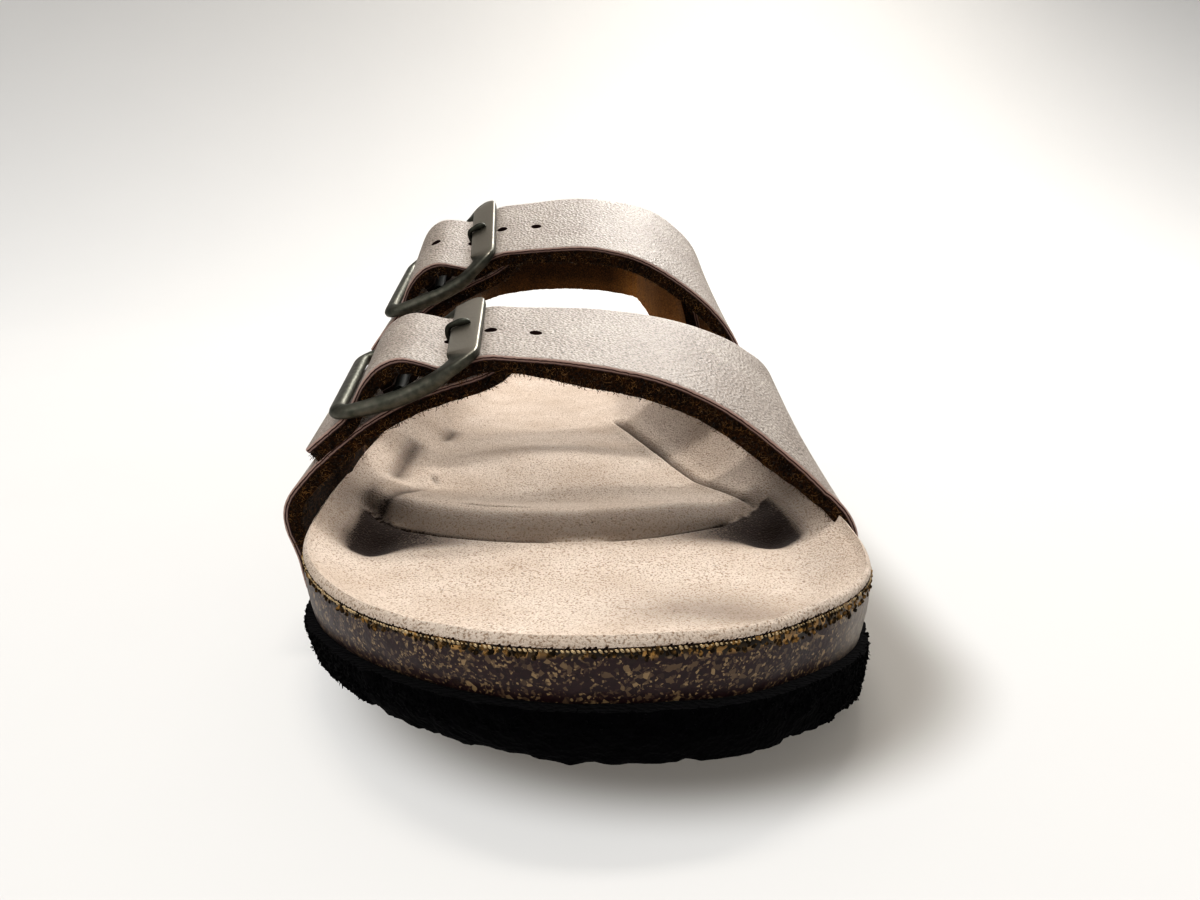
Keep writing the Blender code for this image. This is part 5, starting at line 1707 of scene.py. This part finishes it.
class SandalSole(bpy.types.PropertyGroup):
    """Sizes and colours of the sole."""

    suede_colour: colour_property("Suede", "Colour of the footbed's nap", "#D2C5B9")
    nap_strength: number_property("Nap", "Depth of the suede's nap", 0.8, max=1.0, subtype="FACTOR")
    crease_depth: length_property("Crease depth", "Depth of a crease of depth one", 1.0)
    cork_dark: colour_property("Cork", "Darkest cork granules", "#2F181B")
    cork_fleck: colour_property("Cork fleck", "Palest cork granules", "#8F7A5C")
    cork_gold: colour_property("Torn cork", "Bare cork at the seam", "#A98653")
    seam_pitch: length_property("Seam pitch", "Distance between the knots of the seam", 0.7)
    rubber_colour: colour_property("Rubber", "Colour of the outsole", "#050407")
    groove_opening: number_property("Groove opening", "Share of a groove's depth at the side", 0.12, max=1.0)
    rubber_roughness: length_property("Rubber roughness", "Height of the outsole's lumps", 1.0)
    crumbs_per_area: number_property("Crumbs", "Loose crumbs on each square millimetre", 0.9)


class SandalStraps(bpy.types.PropertyGroup):
    """Sizes and colours of the straps."""

    leather_colour: colour_property("Leather", "Colour of the leather's face", "#9D948C")
    core_colour: colour_property("Core", "Dark core at the leather's cut edge", "#3A2524")
    felt_dark: colour_property("Felt depth", "Felt in its depth", "#0D0704")
    felt_ochre: colour_property("Felt wool", "Felt where the light falls", "#4C3117")
    hair_colour: colour_property("Hair", "Loose hairs of the felt", "#7A5A2C")
    leather_thickness: length_property("Leather thickness", "Thickness of the leather face", 1.1)
    felt_loft: length_property("Felt loft", "How far the felt swells past the strap's foot side", 0.6)
    hole_radius: length_property("Hole radius", "Radius of an adjusting hole", 1.25)
    hair_length: length_property("Hair length", "Length of the longest felt hair", 1.3)
    hairs_per_area: number_property("Hairs", "Felt hairs on each square millimetre of a cut edge", 4.5)


class SandalBuckles(bpy.types.PropertyGroup):
    """Colours of the buckles and their loops."""

    pewter_colour: colour_property("Pewter", "Metal that is rubbed bright", "#A09A8F")
    patina_colour: colour_property("Patina", "Dark old surface of the metal", "#54554E")
    loop_colour: colour_property("Loop", "Leather of the loops", "#4A3323")


class SandalStage(bpy.types.PropertyGroup):
    """Floor and light."""

    floor_colour: colour_property("Floor", "Colour of the paper sweep", "#94918D")
    # The floor glow is painted light, left out under the sole as a painted shadow
    floor_glow: number_property("Floor glow", "Light that passes through the sweep from below", 0.345)
    room_colour: colour_property("Room", "Colour of the light from all sides", "#FFFCF7")
    room_strength: number_property("Room light", "Strength of the light from above", 0.55)
    room_low: number_property("Low room light", "Strength of that light from low in front", 0.14)
    overhead_power: number_property("Overhead", "Power of the soft light above", 5.0, unit="POWER")
    back_power: number_property("Back", "Power of the soft fill from behind", 7.2, unit="POWER")
    front_power: number_property("Front", "Power of the soft light at the front left", 2.6, unit="POWER")
    sweep_start: number_property("Sweep start", "Where the floor begins to rise", 0.36, unit="LENGTH")
    sweep_bend: number_property("Sweep bend", "Radius of the sweep", 0.4, unit="LENGTH")


class SANDAL_OT_outsole(bpy.types.Operator):
    """Builds the outsole with its loose crumbs"""

    bl_idname = "sandal.outsole"
    bl_label = "Outsole"

    def execute(self, context):
        sole = context.scene.sandal_sole
        make_crumbs(sole, *make_outsole(sole))
        return {"FINISHED"}


class SANDAL_OT_cork(bpy.types.Operator):
    """Builds the cork midsole"""

    bl_idname = "sandal.cork"
    bl_label = "Cork midsole"

    def execute(self, context):
        make_cork(context.scene.sandal_sole)
        return {"FINISHED"}


class SANDAL_OT_footbed(bpy.types.Operator):
    """Builds the suede footbed and the seam round it"""

    bl_idname = "sandal.footbed"
    bl_label = "Footbed and seam"

    def execute(self, context):
        make_footbed(context.scene.sandal_sole)
        make_seam(context.scene.sandal_sole)
        return {"FINISHED"}


class SANDAL_OT_straps(bpy.types.Operator):
    """Builds the two buckled straps and their tabs"""

    bl_idname = "sandal.straps"
    bl_label = "Straps and tabs"

    def execute(self, context):
        for side in (FRONT, REAR):
            make_strap(side, context.scene.sandal_straps)
            make_tab(side, context.scene.sandal_straps)
        return {"FINISHED"}


class SANDAL_OT_heel_strap(bpy.types.Operator):
    """Builds the strap round the heel"""

    bl_idname = "sandal.heel_strap"
    bl_label = "Heel strap"

    def execute(self, context):
        make_heel_strap(context.scene.sandal_straps)
        return {"FINISHED"}


class SANDAL_OT_buckles(bpy.types.Operator):
    """Builds the two buckles and their leather loops"""

    bl_idname = "sandal.buckles"
    bl_label = "Buckles and loops"

    def execute(self, context):
        for side in (FRONT, REAR):
            make_buckle(side, context.scene.sandal_buckles)
            make_keeper(side, context.scene.sandal_buckles)
        return {"FINISHED"}


class SANDAL_OT_stage(bpy.types.Operator):
    """Sets the floor, the light and the camera"""

    bl_idname = "sandal.stage"
    bl_label = "Stage"

    def execute(self, context):
        make_stage(context.scene.sandal_stage)
        return {"FINISHED"}


GROUPS = (
    ("sandal_sole", SandalSole),
    ("sandal_straps", SandalStraps),
    ("sandal_buckles", SandalBuckles),
    ("sandal_stage", SandalStage),
)
OPERATORS = (
    SANDAL_OT_stage,
    SANDAL_OT_outsole,
    SANDAL_OT_cork,
    SANDAL_OT_footbed,
    SANDAL_OT_straps,
    SANDAL_OT_heel_strap,
    SANDAL_OT_buckles,
)


class SANDAL_PT_build(bpy.types.Panel):
    """Lists the sandal's sizes, colours and pieces"""

    bl_idname = "SANDAL_PT_build"
    bl_label = "Back-strap sandal"
    bl_space_type = "VIEW_3D"
    bl_region_type = "UI"
    bl_category = "Sandal"

    def draw(self, context):
        for group, kind in GROUPS:
            column = self.layout.column()
            column.label(text=kind.__doc__)
            for key in kind.__annotations__:
                column.prop(getattr(context.scene, group), key)
        for operator in OPERATORS:
            self.layout.operator(operator.bl_idname)


def register():
    for group, kind in GROUPS:
        bpy.utils.register_class(kind)
        setattr(bpy.types.Scene, group, bpy.props.PointerProperty(type=kind))
    for kind in (*OPERATORS, SANDAL_PT_build):
        bpy.utils.register_class(kind)


def unregister():
    for kind in (SANDAL_PT_build, *reversed(OPERATORS)):
        bpy.utils.unregister_class(kind)
    for group, kind in reversed(GROUPS):
        delattr(bpy.types.Scene, group)
        bpy.utils.unregister_class(kind)


def main():
    register()
    bpy.ops.sandal.stage()
    bpy.ops.sandal.outsole()
    bpy.ops.sandal.cork()
    bpy.ops.sandal.footbed()
    bpy.ops.sandal.straps()
    bpy.ops.sandal.heel_strap()
    bpy.ops.sandal.buckles()


if __name__ == "__main__":
    main()
